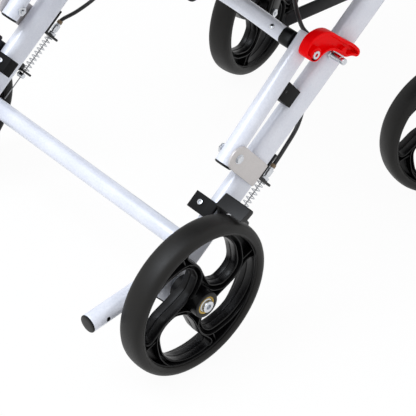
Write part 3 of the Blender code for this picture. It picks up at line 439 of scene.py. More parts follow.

# %% [markdown]
# The plastics are injection moulded. Nylon has a slightly mottled black, glossy in a wheel
# and dry in a clip that is filled with glass.
# The latch levers are a plain red ABS with a polished tool's shine. The tyres are solid
# polyurethane: matte and a little brown in the light.

# %% Plastic, rubber and cloth finishes
NYLON = finish("moulded_black_nylon", {"Specular IOR Level": 0.22},
               0.0014, ("#050506", "#0a0a0c"), (0.26, 0.40), 0.00005)
DRY_NYLON = finish("dry_glass_filled_nylon", {"Specular IOR Level": 0.15},
                   0.0014, ("#060607", "#0c0c0e"), (0.55, 0.65), 0.00006)
RED_ABS = finish("moulded_red_abs", {"Specular IOR Level": 0.05},
                 0.0030, ("#ee0005", "#f80208"), (0.24, 0.34), 0.00003)
TYRE = finish("solid_polyurethane", {"Specular IOR Level": 0.28},
              0.0018, ("#0d0c0b", "#151412"), (0.42, 0.56), 0.00006)
SHEATH = finish("cable_sheath_pvc", {},
                0.0020, ("#0d0d0e", "#151516"), (0.30, 0.40), 0.00003)
FERRULE = finish("tan_ferrule", {},
                 0.0015, ("#7d6a52", "#8f7a60"), (0.45, 0.60), 0.00004)
RUBBER = finish("soft_black_rubber", {},
                0.0012, ("#111112", "#1a1a1b"), (0.60, 0.78), 0.00008)
PAD_FOAM = finish("integral_skin_foam", {},
                  0.0013, ("#1a1a1b", "#252527"), (0.55, 0.72), 0.00012)


def weave(tree, place, noise):
    """Two crossed waves, one thread each 1.1 mm, drawn coarser than real so that it shows."""
    first = add(tree, "TexWave", {"Vector": place, "Scale": 290.0, "Distortion": 0.3},
                bands_direction="X").outputs["Fac"]
    second = add(tree, "TexWave", {"Vector": place, "Scale": 290.0, "Distortion": 0.3},
                 bands_direction="Y").outputs["Fac"]
    both = add(tree, "Math", {0: first, 1: second}, operation="MULTIPLY").outputs[0]
    return add(tree, "Math", {0: both, 1: noise}, operation="ADD").outputs[0]


CLOTH = finish("woven_nylon_cloth",
               {"Sheen Weight": 0.25, "Sheen Roughness": 0.4},
               0.0011, ("#17171a", "#232327"), (0.72, 0.88), 0.00025, weave)
PIPING = finish("nylon_binding_tape", {},
                0.0009, ("#0c0c0e", "#161618"), (0.65, 0.80), 0.00020)
THREAD = finish("bonded_nylon_thread", {},
                0.0008, ("#2c2c30", "#3a3a3f"), (0.50, 0.65), 0.00003)

# %% [markdown]
# ## The camera first
# The picture looks down on the chair's right rear wheel from behind and outside. The place,
# direction and lens were solved from the wheels' outlines, so they are plain numbers here.

# %% Camera
LENS, SENSOR = 165.8, 36.0
EYE = (-1.3678, 1.5186, 1.4614)
TO_THE_RIGHT = (-0.6822, -0.7264, 0.0835)
UPWARDS = (0.4835, -0.3624, 0.7968)
BACKWARDS = (-0.5485, 0.5839, 0.5984)


def add_camera():
    data = bpy.data.cameras.new("camera")
    data.lens = LENS
    data.sensor_width = SENSOR
    camera = in_scene("camera", data)
    turn = Matrix((TO_THE_RIGHT, UPWARDS, BACKWARDS)).transposed().to_4x4()
    turn.translation = EYE
    camera.matrix_world = turn
    bpy.context.scene.camera = camera


add_camera()

# %% [markdown]
# ## Wheels
# All four wheels are one moulding: a hub, a rim, and four drop-shaped holes that curl round
# the hub like a pinwheel. Each hole has a raised lip. On its leading side a second rib runs
# outside the lip, with a groove between, and where two holes come close these ribs run
# together. Lip, groove and rib are one profile carried round the hole's outline, and the
# groove narrows wherever the neighbours leave less room. HOLE_TURN and HOLE_R go round one
# hole as seen from outside: angles in degrees, and radii in millimetres.

# %% The holes' outline
HOLES = 4
HOLE_FIRST = math.radians(44)
HOLE_TURN = np.radians([-32, -27, -18, 0, 10, 20, 30, 40, 50, 59, 64, 65, 62.5, 59, 53, 46, 39,
                        28, 14, -2, -17, -27])
HOLE_R = np.array([38, 52, 62, 70.5, 75, 79, 81.8, 83.2, 83.6, 83.2, 80.5, 75, 67.5, 61, 52, 40,
                   32.5, 26.6, 23, 21.8, 24.6, 30]) / 1000


def between(before, here, ahead, far, t):
    """The Catmull-Rom curve from here to ahead, t running from 0 to 1."""
    return 0.5 * (2 * here + (ahead - before) * t
                  + (2 * before - 5 * here + 4 * ahead - far) * t**2
                  + (3 * here - before - 3 * ahead + far) * t**3)


def loop_through(points, steps=12):
    """A closed smooth curve through the points."""
    around = (np.roll(points, k, 0)[:, None] for k in (1, 0, -1, -2))
    return between(*around, (np.arange(steps) / steps)[None, :, None]).reshape(-1, 2)


def run_of(line):
    """How far along the line each of its points lies."""
    return np.concatenate([[0], np.cumsum(np.linalg.norm(np.diff(line, axis=0), axis=1))])


def points_on(line, want):
    """The points of the line at these distances along it."""
    run = run_of(line)
    return np.stack([np.interp(want, run, column) for column in line.T], -1)


def resampled(outline, count):
    """The closed outline with its points at an even distance."""
    closed = np.vstack([outline, outline[:1]])
    return points_on(closed, np.arange(count) * run_of(closed)[-1] / count)


HOLE_POINTS = 176
DRAFT = 0.0010


def hole_outline(first):
    """The hole at its parting line, narrower by the draft than on the wheel's face."""
    turn = first + HOLE_TURN
    face = loop_through(np.stack([HOLE_R * np.cos(turn), HOLE_R * np.sin(turn)], -1))
    return drawn_in(resampled(face, HOLE_POINTS), DRAFT)


HOLE_TURNS = [HOLE_FIRST + k * math.tau / HOLES for k in range(HOLES)]
outlines = [hole_outline(first) for first in HOLE_TURNS]
print("a hole's outline is", round(float(run_of(outlines[0])[-1]) * 1000), "mm round")

# %% Lips and ribs
RIM_INNER = 0.0850
HUB_OUTER = 0.0172
RIB_AT = 0.0072
LIP_TOP = 0.0092
OUTER_LIP = 0.0026
RIB_TOP = 0.0116
GROOVE = 0.0024
WEB_HALF = 0.0018


def room_beside(outline, others):
    """How far out the second rib can stand: to RIB_AT, to the lip of the next hole, to the
    rim or to the hub, whichever comes first."""
    normal = normals_of(outline)
    rest = np.concatenate(others)
    room = np.full(len(outline), RIB_AT)
    for reach in np.arange(RIB_AT, 0.0, -0.0002):
        point = outline + normal * reach
        nearest = np.min(np.linalg.norm(point[:, None] - rest[None], axis=2), axis=1)
        radius = np.linalg.norm(point, axis=1)
        tight = (nearest < OUTER_LIP) | (radius > RIM_INNER) | (radius < HUB_OUTER)
        room = np.where(tight, reach, room)
    spread = np.ones(7) / 7
    return np.convolve(np.concatenate([room[-3:], room, room[:3]]), spread, "valid")


def lip_profile(room, leading):
    """Half of the ring's section, from the parting line over lip, groove and second rib. The
    side that trails has its lip alone, because the next hole's second rib runs along it."""
    far = np.maximum(room, 0.0050)
    top = LIP_TOP + (RIB_TOP - LIP_TOP) * (1 - leading)
    floor = WEB_HALF - 0.0010 + (GROOVE - WEB_HALF + 0.0010) * leading
    rib = floor + (RIB_TOP - floor) * leading
    return [(0.0009, 0.0005), (0.0002, 0.0009), (0.0, 0.0016), (0.0008, top - 0.0012),
            (0.0010, top - 0.0004), (0.0014, top), (0.0023, top), (0.0027, top - 0.0004),
            (0.0029, top - 0.0012), (0.0033, floor), (far - 0.0012, floor),
            (far - 0.0008, rib - 0.0010 * leading), (far - 0.0004, rib - 0.0001 * leading),
            (far + 0.0005, rib), (far + 0.0009, rib - 0.0006 * leading),
            (far + 0.0014, WEB_HALF - 0.0012)]


def lip(outline, others):
    """The profile carried round one hole, alike on both faces of the wheel."""
    normal = normals_of(outline)
    spinward = np.stack([-outline[:, 1], outline[:, 0]], -1)
    spinward /= np.linalg.norm(spinward, axis=1, keepdims=True)
    leading = np.clip((0.50 - np.sum(normal * spinward, axis=1)) / 0.25, 0, 1)
    rows = lip_profile(room_beside(outline, others), leading)
    rows = rows + [(d, -z) for d, z in reversed(rows)]
    even = np.ones(len(outline))
    grid = np.array([np.concatenate([outline + normal * (d * even)[:, None],
                                     (z * even)[:, None]], 1) for d, z in rows])
    return skin(grid, loop=True)


# %% Web, rim and hub
WEB_SPAN = (0.0150, 0.0856)
HOLE_CLEAR = 0.0022


def inside_hole(points):
    """Distance to the nearest hole's outline, negative inside a hole."""
    nearest = np.full(len(points), 1.0)
    for outline in outlines:
        gap = np.linalg.norm(points[:, None] - outline[None], axis=2)
        closest = np.argmin(gap, axis=1)
        sign = np.sum((points - outline[closest]) * normals_of(outline)[closest], axis=1)
        distance = np.min(gap, axis=1) * np.where(sign > 0, 1, -1)
        nearest = np.where(np.abs(distance) < np.abs(nearest), distance, nearest)
    return nearest


def web(rings=42, spokes=252):
    """The flat web between the ribs: a ring of small cells, without those in the holes.
    Where a cell has no neighbour, a wall joins its front to its back."""
    radius = np.linspace(*WEB_SPAN, rings + 1)
    turn = np.arange(spokes) * math.tau / spokes
    r, t = np.meshgrid(radius, turn, indexing="ij")
    flat = np.stack([r * np.cos(t), r * np.sin(t)], -1)
    mid_r, mid_t = (radius[1:] + radius[:-1]) / 2, turn + math.pi / spokes
    rr, tt = np.meshgrid(mid_r, mid_t, indexing="ij")
    centres = np.stack([rr * np.cos(tt), rr * np.sin(tt)], -1).reshape(-1, 2)
    keep = (inside_hole(centres) > HOLE_CLEAR).reshape(rings, spokes)
    index = np.arange((rings + 1) * spokes).reshape(rings + 1, spokes)
    following = np.roll(index, -1, 1)
    corner = [index[:-1], following[:-1], following[1:], index[1:]]
    top = np.stack([c[keep] for c in corner], -1)
    faces = top.tolist() + (top[:, ::-1] + index.size).tolist()
    padded = np.zeros((rings + 2, spokes), bool)
    padded[1:-1] = keep
    for shift, axis, ends in ((1, 0, (0, 1)), (-1, 0, (2, 3)), (1, 1, (3, 0)), (-1, 1, (1, 2))):
        other = np.roll(padded, shift, axis)[1:-1]
        edge = keep & ~other
        a, b = corner[ends[0]][edge], corner[ends[1]][edge]
        faces += np.stack([b, a, a + index.size, b + index.size], -1).tolist()
    flat = flat.reshape(-1, 2)
    height = np.full((len(flat), 1), WEB_HALF)
    points = np.vstack([np.hstack([flat, height]), np.hstack([flat, -height])])
    used = np.unique(np.concatenate([np.ravel(face) for face in faces]))
    renumber = np.zeros(len(points), int)
    renumber[used] = np.arange(len(used))
    return outward(points[used], [renumber[face].tolist() for face in faces])


def mirrored(rows):
    """A turned profile that is alike on both faces."""
    return rows + [(-z, r) for z, r in reversed(rows)]


RIM_PROFILE = mirrored([(0.0000, 0.0843), (0.0060, 0.0844), (0.0108, 0.0846), (0.0118, 0.0848),
                        (0.0124, 0.0852), (0.0126, 0.0856), (0.0124, 0.0861)])[1:]
HUB_PROFILE = mirrored([(0.0205, 0.0113), (0.0213, 0.0115), (0.0218, 0.0119), (0.0219, 0.0150),
                        (0.0217, 0.0157), (0.0211, 0.0162), (0.0120, 0.0168), (0.0060, 0.0172),
                        (0.0040, 0.0180)])


def local_ring(profile, sides):
    """A closed profile turned in the wheel's own frame, where its axle is z."""
    return turned(profile, (0, 0, 0), (0, 0, 1), sides, loop=True)


RIB_SPAN = (0.0690, 0.0848)
RIB_HALF, RIB_DEEP = 0.0008, 0.0104
RIB_LAG = math.radians(20)


def short_rib(turn):
    """A straight rib along a spoke, from the leading rib of a hole to the rim."""
    first, last = RIB_SPAN
    rows = np.array([[first, -RIB_HALF], [first, RIB_HALF], [last, RIB_HALF], [last, -RIB_HALF]])
    c, s = math.cos(turn), math.sin(turn)
    flat = np.stack([rows[:, 0] * c - rows[:, 1] * s, rows[:, 0] * s + rows[:, 1] * c], -1)

    def place(a, b, depth):
        return np.stack([a, b, np.full_like(a, depth)], -1)

    return plate(resampled(flat, 28), place, -RIB_DEEP, RIB_DEEP, 0.0004)


def wheel_skins():
    """The moulding, in the wheel's own frame: its axle along z."""
    skins = [lip(outline, [o for o in outlines if o is not outline]) for outline in outlines]
    skins += [web(), local_ring(RIM_PROFILE, 144), local_ring(HUB_PROFILE, 72)]
    return skins + [short_rib(turn - RIB_LAG) for turn in HOLE_TURNS]


def set_in(skins, centre, axis):
    """Skins from the wheel's own frame to the chair: its z becomes the axle, its y stays up."""
    axis = np.asarray(axis, float) / np.linalg.norm(axis)
    up = np.array([0, 0, 1.0])
    turn = np.stack([np.cross(up, axis), up, axis])
    return [outward(np.asarray(points) @ turn + np.asarray(centre), faces)
            for points, faces in skins]


WHEEL_SKINS = wheel_skins()
print("wheel faces:", sum(len(faces) for _, faces in WHEEL_SKINS))

# %% [markdown]
# The tyre is solid and pressed onto the rim. Its tread is crowned, its shoulder is soft, and
# a moulding line shows where the two halves of its mould met the side wall.

# %% Tyre and bearings
TYRE_PROFILE = mirrored([(0.0131, 0.0855), (0.0139, 0.0856), (0.0150, 0.0860), (0.0160, 0.0869),
                         (0.0166, 0.0880), (0.0169, 0.0892), (0.0170, 0.0900), (0.0167, 0.0902),
                         (0.0168, 0.0906), (0.0164, 0.0928), (0.0154, 0.0950), (0.0140, 0.0967),
                         (0.0120, 0.0981), (0.0095, 0.0990), (0.0065, 0.0996), (0.0033, 0.0999),
                         (0.0008, 0.1000)])
BEARING = [(0.0180, 0.0114), (0.0211, 0.0114), (0.0214, 0.0110), (0.0214, 0.0094),
           (0.0209, 0.0088), (0.0180, 0.0086)]
SEAL = [(0.0170, 0.0088), (0.0206, 0.0088), (0.0206, 0.0046), (0.0170, 0.0046)]


def both_faces(rows, sides):
    """The same ring set into each face of the hub."""
    return [local_ring([(face * z, r) for z, r in rows], sides) for face in (1, -1)]


def add_wheel(label, node, centre, axis):
    """A whole wheel on the body of the same name."""
    for part, skins, material, replaces in (
            ("moulding", WHEEL_SKINS, NYLON, [f"{node}_wheel"]),
            ("solid_tyre", [local_ring(TYRE_PROFILE, 160)], TYRE, [f"{node}_tyre"]),
            ("bearings", both_faces(BEARING, 56), BRASS, ()),
            ("seals", both_faces(SEAL, 48), NYLON, ())):
        piece(f"{label}_{part}", set_in(skins, centre, axis), material, label, replaces)


REAR_WHEEL_OUT = LEG_OUT + 0.039


def add_rear_wheels():
    for name, side in SIDES.items():
        centre = at(side, REAR_WHEEL_OUT, 0, WHEEL_R)
        add_wheel(f"rear_wheel_{name}", f"rear_{name}", centre, (side, 0, 0))


add_rear_wheels()

# %% [markdown]
# The rear axle is a shoulder bolt. A spacer sleeve stands between leg and hub, and the cap
# screw outside is bright zinc with a six-sided socket.

# %% Rear axle bolts
def add_rear_axles():
    for name, side in SIDES.items():
        axis = (side, 0, 0)
        centre = at(side, 0.0, 0, WHEEL_R)
        face = LEG_OUT + LEG_HALF
        hub_in, hub_out = REAR_WHEEL_OUT - 0.0223, REAR_WHEEL_OUT + 0.0208
        sleeve = turned([(face, 0.0088), (face + 0.0005, 0.0092), (hub_in - 0.0005, 0.0092),
                         (hub_in, 0.0088), (hub_in, 0.0043), (face, 0.0043)],
                        centre, axis, loop=True)
        shaft = shank(centre, axis, face, hub_out, 0.0040)
        head_at = at(side, hub_out, 0, WHEEL_R)
        head = socket_head(head_at, axis, 0.0074, 0.0048, 0.0036)
        washer = turned([(hub_out - 0.0008, 0.0085), (hub_out, 0.0085),
                         (hub_out + 0.0004, 0.0080), (hub_out + 0.0004, 0.0040),
                         (hub_out - 0.0008, 0.0040)], centre, axis, loop=True)
        piece(f"axle_bolt_{name}", [sleeve, shaft, head, washer], BRIGHT_ZINC, "rear_frame",
              [f"rear_{name}_axle"])


add_rear_axles()

# %% [markdown]
# ## Casters
# Each caster hangs in a moulded fork: a crown under the frame's housing and two legs that
# sweep back to the axle. The legs are plates with soft edges and a raised pad down their
# outer face, and the axle's head and nut are bright zinc.

# %% Caster forks
STEM_OUT = LEG_OUT - 0.0005
STEM_FWD = 0.542
TRAIL = 0.044
TOE_OUT = {"right": math.radians(16.6), "left": math.radians(12.8)}
CROWN_Z = 0.2045
CROWN_TOP = CROWN_Z + 0.008
FORK_INNER, FORK_OUTER = 0.023, 0.028
FORK_PAD = 0.0008


def caster_place(name, out, back, up):
    """Out from and behind the caster's stem, turned by its toe-out."""
    turn = TOE_OUT[name]
    dx = out * math.cos(turn) - back * math.sin(turn)
    dy = -out * math.sin(turn) - back * math.cos(turn)
    return at(SIDES[name], STEM_OUT + dx, STEM_FWD + dy, up)


def fork_leg_outline():
    """(back, up) round a leg: half a circle under the axle, and a broad head in the crown."""
    lean = math.atan2(CROWN_Z - WHEEL_R, TRAIL)
    under = arc((TRAIL, WHEEL_R), 0.013, math.pi - lean + math.pi / 2,
                math.tau + math.pi / 2 - lean, 22)
    head = [(0.0165, CROWN_TOP - 0.0030), (0.0120, CROWN_TOP - 0.0005),
            (-0.0110, CROWN_TOP - 0.0005), (-0.0150, CROWN_TOP - 0.0030)]
    return resampled(np.vstack([under, head]), 120)


def add_forks():
    crown = box_outline(FORK_OUTER, 0.017, 0.008, 8)
    leg = fork_leg_outline()
    pad = drawn_in(leg, 0.0045)
    for name in SIDES:
        def level(a, b, depth):
            return caster_place(name, a, b, depth)

        def upright(a, b, depth):
            return caster_place(name, depth, a, b)

        skins = [plate(crown, level, CROWN_Z, CROWN_TOP, 0.0015)]
        for sign in (1, -1):
            low, high = sorted((sign * FORK_INNER, sign * (FORK_OUTER - FORK_PAD)))
            skins.append(plate(leg, upright, low, high, 0.0010))
            low, high = sorted((sign * (FORK_OUTER - FORK_PAD - 0.0004), sign * FORK_OUTER))
            skins.append(plate(pad, upright, low, high, 0.0005))
        piece(f"caster_fork_{name}", skins, NYLON, f"caster_fork_{name}", [f"front_{name}_fork"])
        centre = caster_place(name, 0, TRAIL, WHEEL_R)
        axis = caster_place(name, 1, TRAIL, WHEEL_R) - centre
        shaft = shank(centre, axis, -FORK_OUTER, FORK_OUTER, 0.004)
        head = socket_head(centre + axis * FORK_OUTER, axis, 0.0066, 0.0034, 0.0030)
        end = nut(centre - axis * FORK_OUTER, -axis, 0.012, 0.0030)
        piece(f"caster_axle_{name}", [shaft, head, end], BRIGHT_ZINC, f"caster_fork_{name}")
        add_wheel(f"caster_wheel_{name}", f"front_{name}", centre, axis)


add_forks()

# %% [markdown]
# ## Rear frame
# Each rear leg is one flat oval tube, sawn square and closed by a plug at the wheel and
# pressed flat to a tongue at the hinge. A short round tube sticks out behind for tipping
# the chair with a foot. Placing functions turn a flat outline into a part beside the leg or
# in an upright plane, so that every bracket below is only an outline and two depths.

# %% Rear legs
HINGE_DROP = 0.0339
HINGE_ALONG = (RAIL_Z - HINGE_DROP - WHEEL_R) / math.sin(LEG_ANGLE)
TONGUE_FROM, TONGUE_R = HINGE_ALONG - 0.045, 0.016
ACROSS = np.array([1.0, 0, 0])
UP = np.array([0, 0, 1.0])
TIP_ROOT, TIP_END, TIP_R = (0.012, 0.1178), (-0.123, 0.095), 0.011
PIN_AT, PIN_R = (0.310, 0.013), 0.004
CROSSBAR_ALONG, CROSSBAR_R = 0.041, 0.0113
OVER_LEG = on_leg(1, 0, 0, 1) - on_leg(1, 0, 0, 0)
ALONG_LEG = on_leg(1, 0, 1, 0) - on_leg(1, 0, 0, 0)


def leg_sheet(side):
    """a along the rear leg, b over it, depth outwards from it."""
    def place(a, b, depth):
        return on_leg(side, LEG_OUT + depth, a, b)
    return place


def leg_slice(side):
    """a outwards, b over the leg, depth along it."""
    def place(a, b, depth):
        return on_leg(side, LEG_OUT + a, depth, b)
    return place


def upright(side, middle=0.0):
    """a ahead, b up, depth outwards."""
    def place(a, b, depth):
        return at(side, middle + depth, a, b)
    return place


def hex_head(centre, axis, across, height):
    """A bolt head on its washer, with its corners turned off and a shallow dome."""
    reach = across / 2 / math.cos(math.pi / 6)
    profile = [(0, reach * 1.12), (height * 0.16, reach * 1.12), (height * 0.16, reach * 0.96),
               (height * 0.78, reach * 0.96), (height * 0.92, reach * 0.84),
               (height, reach * 0.55), (height, DOT)]
    return turned(profile, centre, axis, six=(2, 3, 4))


def bead(centre, axis, radius, size=0.0016):
    """A weld bead: a small round section carried round a tube's end."""
    section = [(float(a), radius + float(b)) for a, b in circle(size, 10)]
    return turned(section, centre, axis, 56, loop=True)


def plug(centre, axis, radius, depth=0.006, proud=0.0022):
    """A tube's end cap: a short spigot with a crowned flange."""
    profile = [(-depth, radius - 0.0012), (0, radius - 0.0012), (0, radius), (proud * 0.5, radius),
               (proud * 0.85, radius - 0.0006), (proud, radius - 0.0018),
               (proud * 1.08, radius * 0.5), (proud * 1.1, DOT)]
    return turned(profile, centre, axis)


def add_rear_legs():
    oval = box_outline(0.010, 0.018, 0.0092, 8)
    for name, side in SIDES.items():
        path = [on_leg(side, LEG_OUT, s, 0) for s in np.linspace(-0.0250, TONGUE_FROM, 12)]
        tongue = [(TONGUE_FROM - 0.004, -TONGUE_R + 0.0002),
                  *arc((HINGE_ALONG, 0), TONGUE_R, -math.pi / 2, math.pi / 2, 24),
                  (TONGUE_FROM - 0.004, TONGUE_R - 0.0002)]
        root, end = at(side, LEG_OUT, *TIP_ROOT), at(side, LEG_OUT, *TIP_END)
        back = towards(root, end)
        end = end - back * 0.0024
        skins = [bar(path, oval, ACROSS, 0.0012),
                 plate(np.array(tongue), leg_sheet(side), -0.004, 0.004),
                 bar(straight(root, end, 6), circle(TIP_R, 48), ACROSS, 0.0007)]
        piece(f"rear_leg_tube_{name}", skins, PEARL, "rear_frame", [f"rear_leg_{name}"])
        foot = [on_leg(side, LEG_OUT, s, 0) for s in (-0.0265, -0.0255, -0.0240)]
        hole = end - back * 0.0200 + np.array([side * (TIP_R - 0.0003), 0, 0])
        plugs = [plug(end, back, TIP_R), dome(hole, (side, 0, 0), 0.0030, 0.0005),
                 bar(foot, box_outline(0.0094, 0.0174, 0.0088, 8), ACROSS, 0.0007)]
        piece(f"rear_tube_plugs_{name}", plugs, NYLON, "rear_frame")
        pin = [(0.0098, 0.0056), (0.0106, 0.0056), (0.0111, 0.0050), (0.0111, PIN_R),
               (0.0240, PIN_R), (0.0243, 0.0035), (0.0260, 0.0035), (0.0263, PIN_R),
               (0.0298, PIN_R), (0.0307, 0.0034), (0.0310, 0.0024), (0.0310, DOT)]
        steel = [turned(pin, on_leg(side, LEG_OUT, *PIN_AT), (side, 0, 0), 40)]
        piece(f"latch_pin_{name}", steel, BRIGHT_ZINC, "rear_frame")


def add_crossbar():
    end = LEG_OUT - LEG_HALF
    line = straight(on_leg(1, -end, CROSSBAR_ALONG, 0), on_leg(1, end, CROSSBAR_ALONG, 0), 8)
    skins = [bar(line, circle(CROSSBAR_R, 56), UP, 0.0004)]
    for side in (-1, 1):
        weld = on_leg(side, end - 0.0004, CROSSBAR_ALONG, 0)
        skins.append(bead(weld, (side, 0, 0), CROSSBAR_R + 0.0003))
    piece("rear_cross_tube", skins, PEARL, "rear_frame", ["rear_crossbar"])


add_rear_legs()
add_crossbar()

# %% [markdown]
# A zinc plated steel plate holds each lock tube's pivot bolt. It is blanked from sheet, so
# its face is flat and satin and its edges are only slightly rolled. The lock tube
# rests in a moulded saddle further up, whose groove follows the tube's own slope.

# %% Pivot brackets and saddles
BRACKET_OUT = LEG_SIDE + 0.003
SADDLE_AT, SADDLE_HALF = 0.244, 0.011


def add_brackets():
    outline = eased([(0.138, -0.008), (0.168, -0.008), *arc(PIVOT, 0.015, 0, math.pi, 28)], 0.003)
    for name, side in SIDES.items():
        steel = plate(outline, leg_sheet(side), LEG_SIDE, BRACKET_OUT)
        piece(f"pivot_plate_{name}", [steel], SATIN_ZINC, "rear_frame", [f"pivot_bracket_{name}"])
        face = on_leg(side, LEG_OUT + BRACKET_OUT, *PIVOT)
        inner = on_leg(side, LEG_OUT - 0.0108, *PIVOT)
        bolts = [hex_head(face, (side, 0, 0), 0.0092, 0.0030),
                 nut(inner, (-side, 0, 0), 0.0110, 0.0034, 0.0030),
                 shank(on_leg(side, LEG_OUT, *PIVOT), (side, 0, 0), -0.0108, BRACKET_OUT, 0.0039)]
        piece(f"pivot_bolt_{name}", bolts, BRIGHT_ZINC, "rear_frame")


def add_saddles():
    half, foot, top = 0.0097, 0.0184, 0.0480
    middle = lock_place(0.0912)[1]
    reach = math.acos((middle - top) / 0.0113)
    groove = arc((0, middle), 0.0113, -math.pi / 2 - reach, -math.pi / 2 + reach, 20)[::-1]
    outline = eased([(-half, foot), (half, foot), (half, top), *groove, (-half, top)], 0.0012)

    for name, side in SIDES.items():
        def place(a, b, depth):
            slope = (depth - SADDLE_AT) * math.tan(LOCK_TILT) * np.clip((b - foot) / 0.024, 0, 1)
            return on_leg(side, LEG_OUT + a, depth, b + slope)

        block = plate(outline, place, SADDLE_AT - SADDLE_HALF, SADDLE_AT + SADDLE_HALF, 0.0007)
        piece(f"tube_saddle_{name}", [block], DRY_NYLON, "rear_frame", [f"saddle_clip_{name}"])
        spot = on_leg(side, LEG_OUT + half, SADDLE_AT, 0.0440)
        screw = dome(spot, (side, 0, 0), 0.0020, 0.0008)
        piece(f"saddle_screw_{name}", [screw], BLACK_PAINT, "rear_frame")


add_brackets()
add_saddles()

# %% [markdown]
# ## Lock frame
# Two round tubes swing on the rear legs, and an oval tube joins them through plastic
# sockets. Each lock tube has a black cap at its foot and a soft silver dome at its head.

# %% Lock tubes and cross tube
LOCK_BELOW, LOCK_R = 0.0165, 0.0110
CROSS_UP = 0.142
CROSS_HALF_H, CROSS_HALF_W = 0.0105, 0.0090
SOCKET_IN, SOCKET_OUT, SOCKET_WALL = 0.1637, 0.1787, 0.0008
RIVET_OUT = 0.149


def add_lock_tubes():
    axis = on_leg(1, 0, *lock_place(1)) - on_leg(1, 0, *lock_place(0))
    for name, side in SIDES.items():
        foot = on_leg(side, LEG_OUT, *PIVOT)
        rows = [(-0.0140, 0.0100), (-0.0139, 0.0107), (-0.0135, LOCK_R), (0.0, LOCK_R),
                (0.05, LOCK_R), (0.10, LOCK_R), (0.1542, LOCK_R), (0.1557, 0.0107),
                (0.1567, 0.0099), (0.1572, 0.0086), (0.1574, 0.0062), (0.1575, 0.0032),
                (0.1575, DOT)]
        piece(f"lock_tube_silver_{name}", [turned(rows, foot, axis, 56)], PEARL, "lock_frame",
              [f"lock_tube_{name}"])
        rows = [(-LOCK_BELOW, DOT), (-LOCK_BELOW, 0.0090), (-LOCK_BELOW + 0.0006, 0.0103),
                (-LOCK_BELOW + 0.0013, 0.0108), (-0.0140, 0.0108), (-0.0140, 0.0096),
                (-0.0060, 0.0096), (-0.0060, DOT)]
        piece(f"lock_tube_cap_{name}", [turned(rows, foot, axis, 48)], NYLON, "lock_frame")


def lock_cross_rows(outs, half_h, half_w, bow=0.005):
    """Rows of the oval tube: it bows up the lock tubes' line between its sockets."""
    oval = box_outline(half_h, half_w, half_w * 0.82, 9)
    rows = []
    for out in outs:
        share = min(abs(out) / SOCKET_IN, 1.0)
        rise = bow * math.sin(math.pi * (1 - math.sqrt(share**2 * 0.99 + 0.01)) * 0.75)
        rows.append(on_leg(1, out, *lock_place(CROSS_UP + rise + oval[:, 0], oval[:, 1])))
    return np.array(rows)


def add_lock_cross_tube():
    slim_h, slim_w = CROSS_HALF_H - SOCKET_WALL, CROSS_HALF_W - SOCKET_WALL
    reach = SOCKET_IN + 0.003
    tube = skin(lock_cross_rows(np.linspace(-reach, reach, 61), slim_h, slim_w))
    piece("lock_cross_oval_tube", [tube], PEARL, "lock_frame", ["lock_cross_tube"])
    skins, rivets = [], []
    axis = on_leg(1, 0, *lock_place(0, 1)) - on_leg(1, 0, *lock_place(0, 0))
    for side in (-1, 1):
        rows = [(SOCKET_IN, SOCKET_WALL), (SOCKET_IN, 0.0006), (SOCKET_IN + 0.0006, 0.0001),
                (SOCKET_IN + 0.0012, 0.0), (SOCKET_OUT - 0.0010, 0.0),
                (SOCKET_OUT - 0.0003, 0.0003), (SOCKET_OUT, 0.0009)]
        grid = np.concatenate([lock_cross_rows([side * out], CROSS_HALF_H - inset,
                                               CROSS_HALF_W - inset, 0.0)
                               for out, inset in rows])
        skins.append(skin(grid))
        spot = on_leg(side, RIVET_OUT, *lock_place(CROSS_UP + 0.0005, slim_w - 0.0002))
        rivets.append(dome(spot, axis, 0.0037, 0.0024))
    piece("lock_cross_sockets", skins, NYLON, "lock_frame")
    piece("lock_cross_rivets", rivets, BRIGHT_ZINC, "lock_frame")


add_lock_tubes()
add_lock_cross_tube()

# %% [markdown]
# ## Latch levers
# The red hooks that lock the chair open are thick ABS mouldings. A moulder keeps such a part
# from sinking by leaving a thin web inside a rim, so the outline is carried up the rim, over
# it, and down to the web. A boss carries the pivot screw.

# %% Latch levers
LEVER_AT = lock_place(0.142)


def lever_outline():
    clear = PIN_AT[0] + PIN_R + 0.001 - LEVER_AT[0]
    head = [(-0.0095, 0.0050), (-0.0105, 0.0120), (-0.0080, 0.0180), (0.0050, 0.0230),
            (0.0165, 0.0195), (0.0250, 0.0115), (0.0300, 0.0030)]
    back = [(0.0330, -0.0115), (0.0350, -0.0290), (0.0380, -0.0420), (0.0400, -0.0540)]
    tip = [(0.0400, -0.0680), (0.0370, -0.0730), (0.0315, -0.0730)]
    front = [(0.0280, -0.0600), (clear + 0.0010, -0.0535), (clear, -0.0370), (0.0165, -0.0220),
             (0.0120, -0.0150), (0.0030, -0.0110), (-0.0045, -0.0110), (-0.0075, -0.0050)]
    outline = resampled(eased(head + back + tip + front, 0.006), 200)
    return softened(outline, 3)


def softened(outline, reach):
    """Each point becomes the mean of its neighbours, up to reach points away."""
    return sum(np.roll(outline, k, 0) for k in range(-reach, reach + 1)) / (2 * reach + 1)


def dished(outline, place, low, high, floor, rim=0.0034, edge=0.0010):
    """A moulding with a rim: up its wall, over its rim, and down inside to a sunk web."""
    rows = [(depth, drawn_in(outline, inset)) for depth, inset in rolled_wall(low, high, edge)]
    for depth, inset in ((high, rim - 0.0004), (high - 0.0003, rim), (floor + 0.0006, rim + 0.0005),
                         (floor, rim + 0.0012)):
        rows.append((depth, softened(drawn_in(outline, inset), 3)))
    return skin(np.array([place(shape[:, 0], shape[:, 1], depth) for depth, shape in rows]))


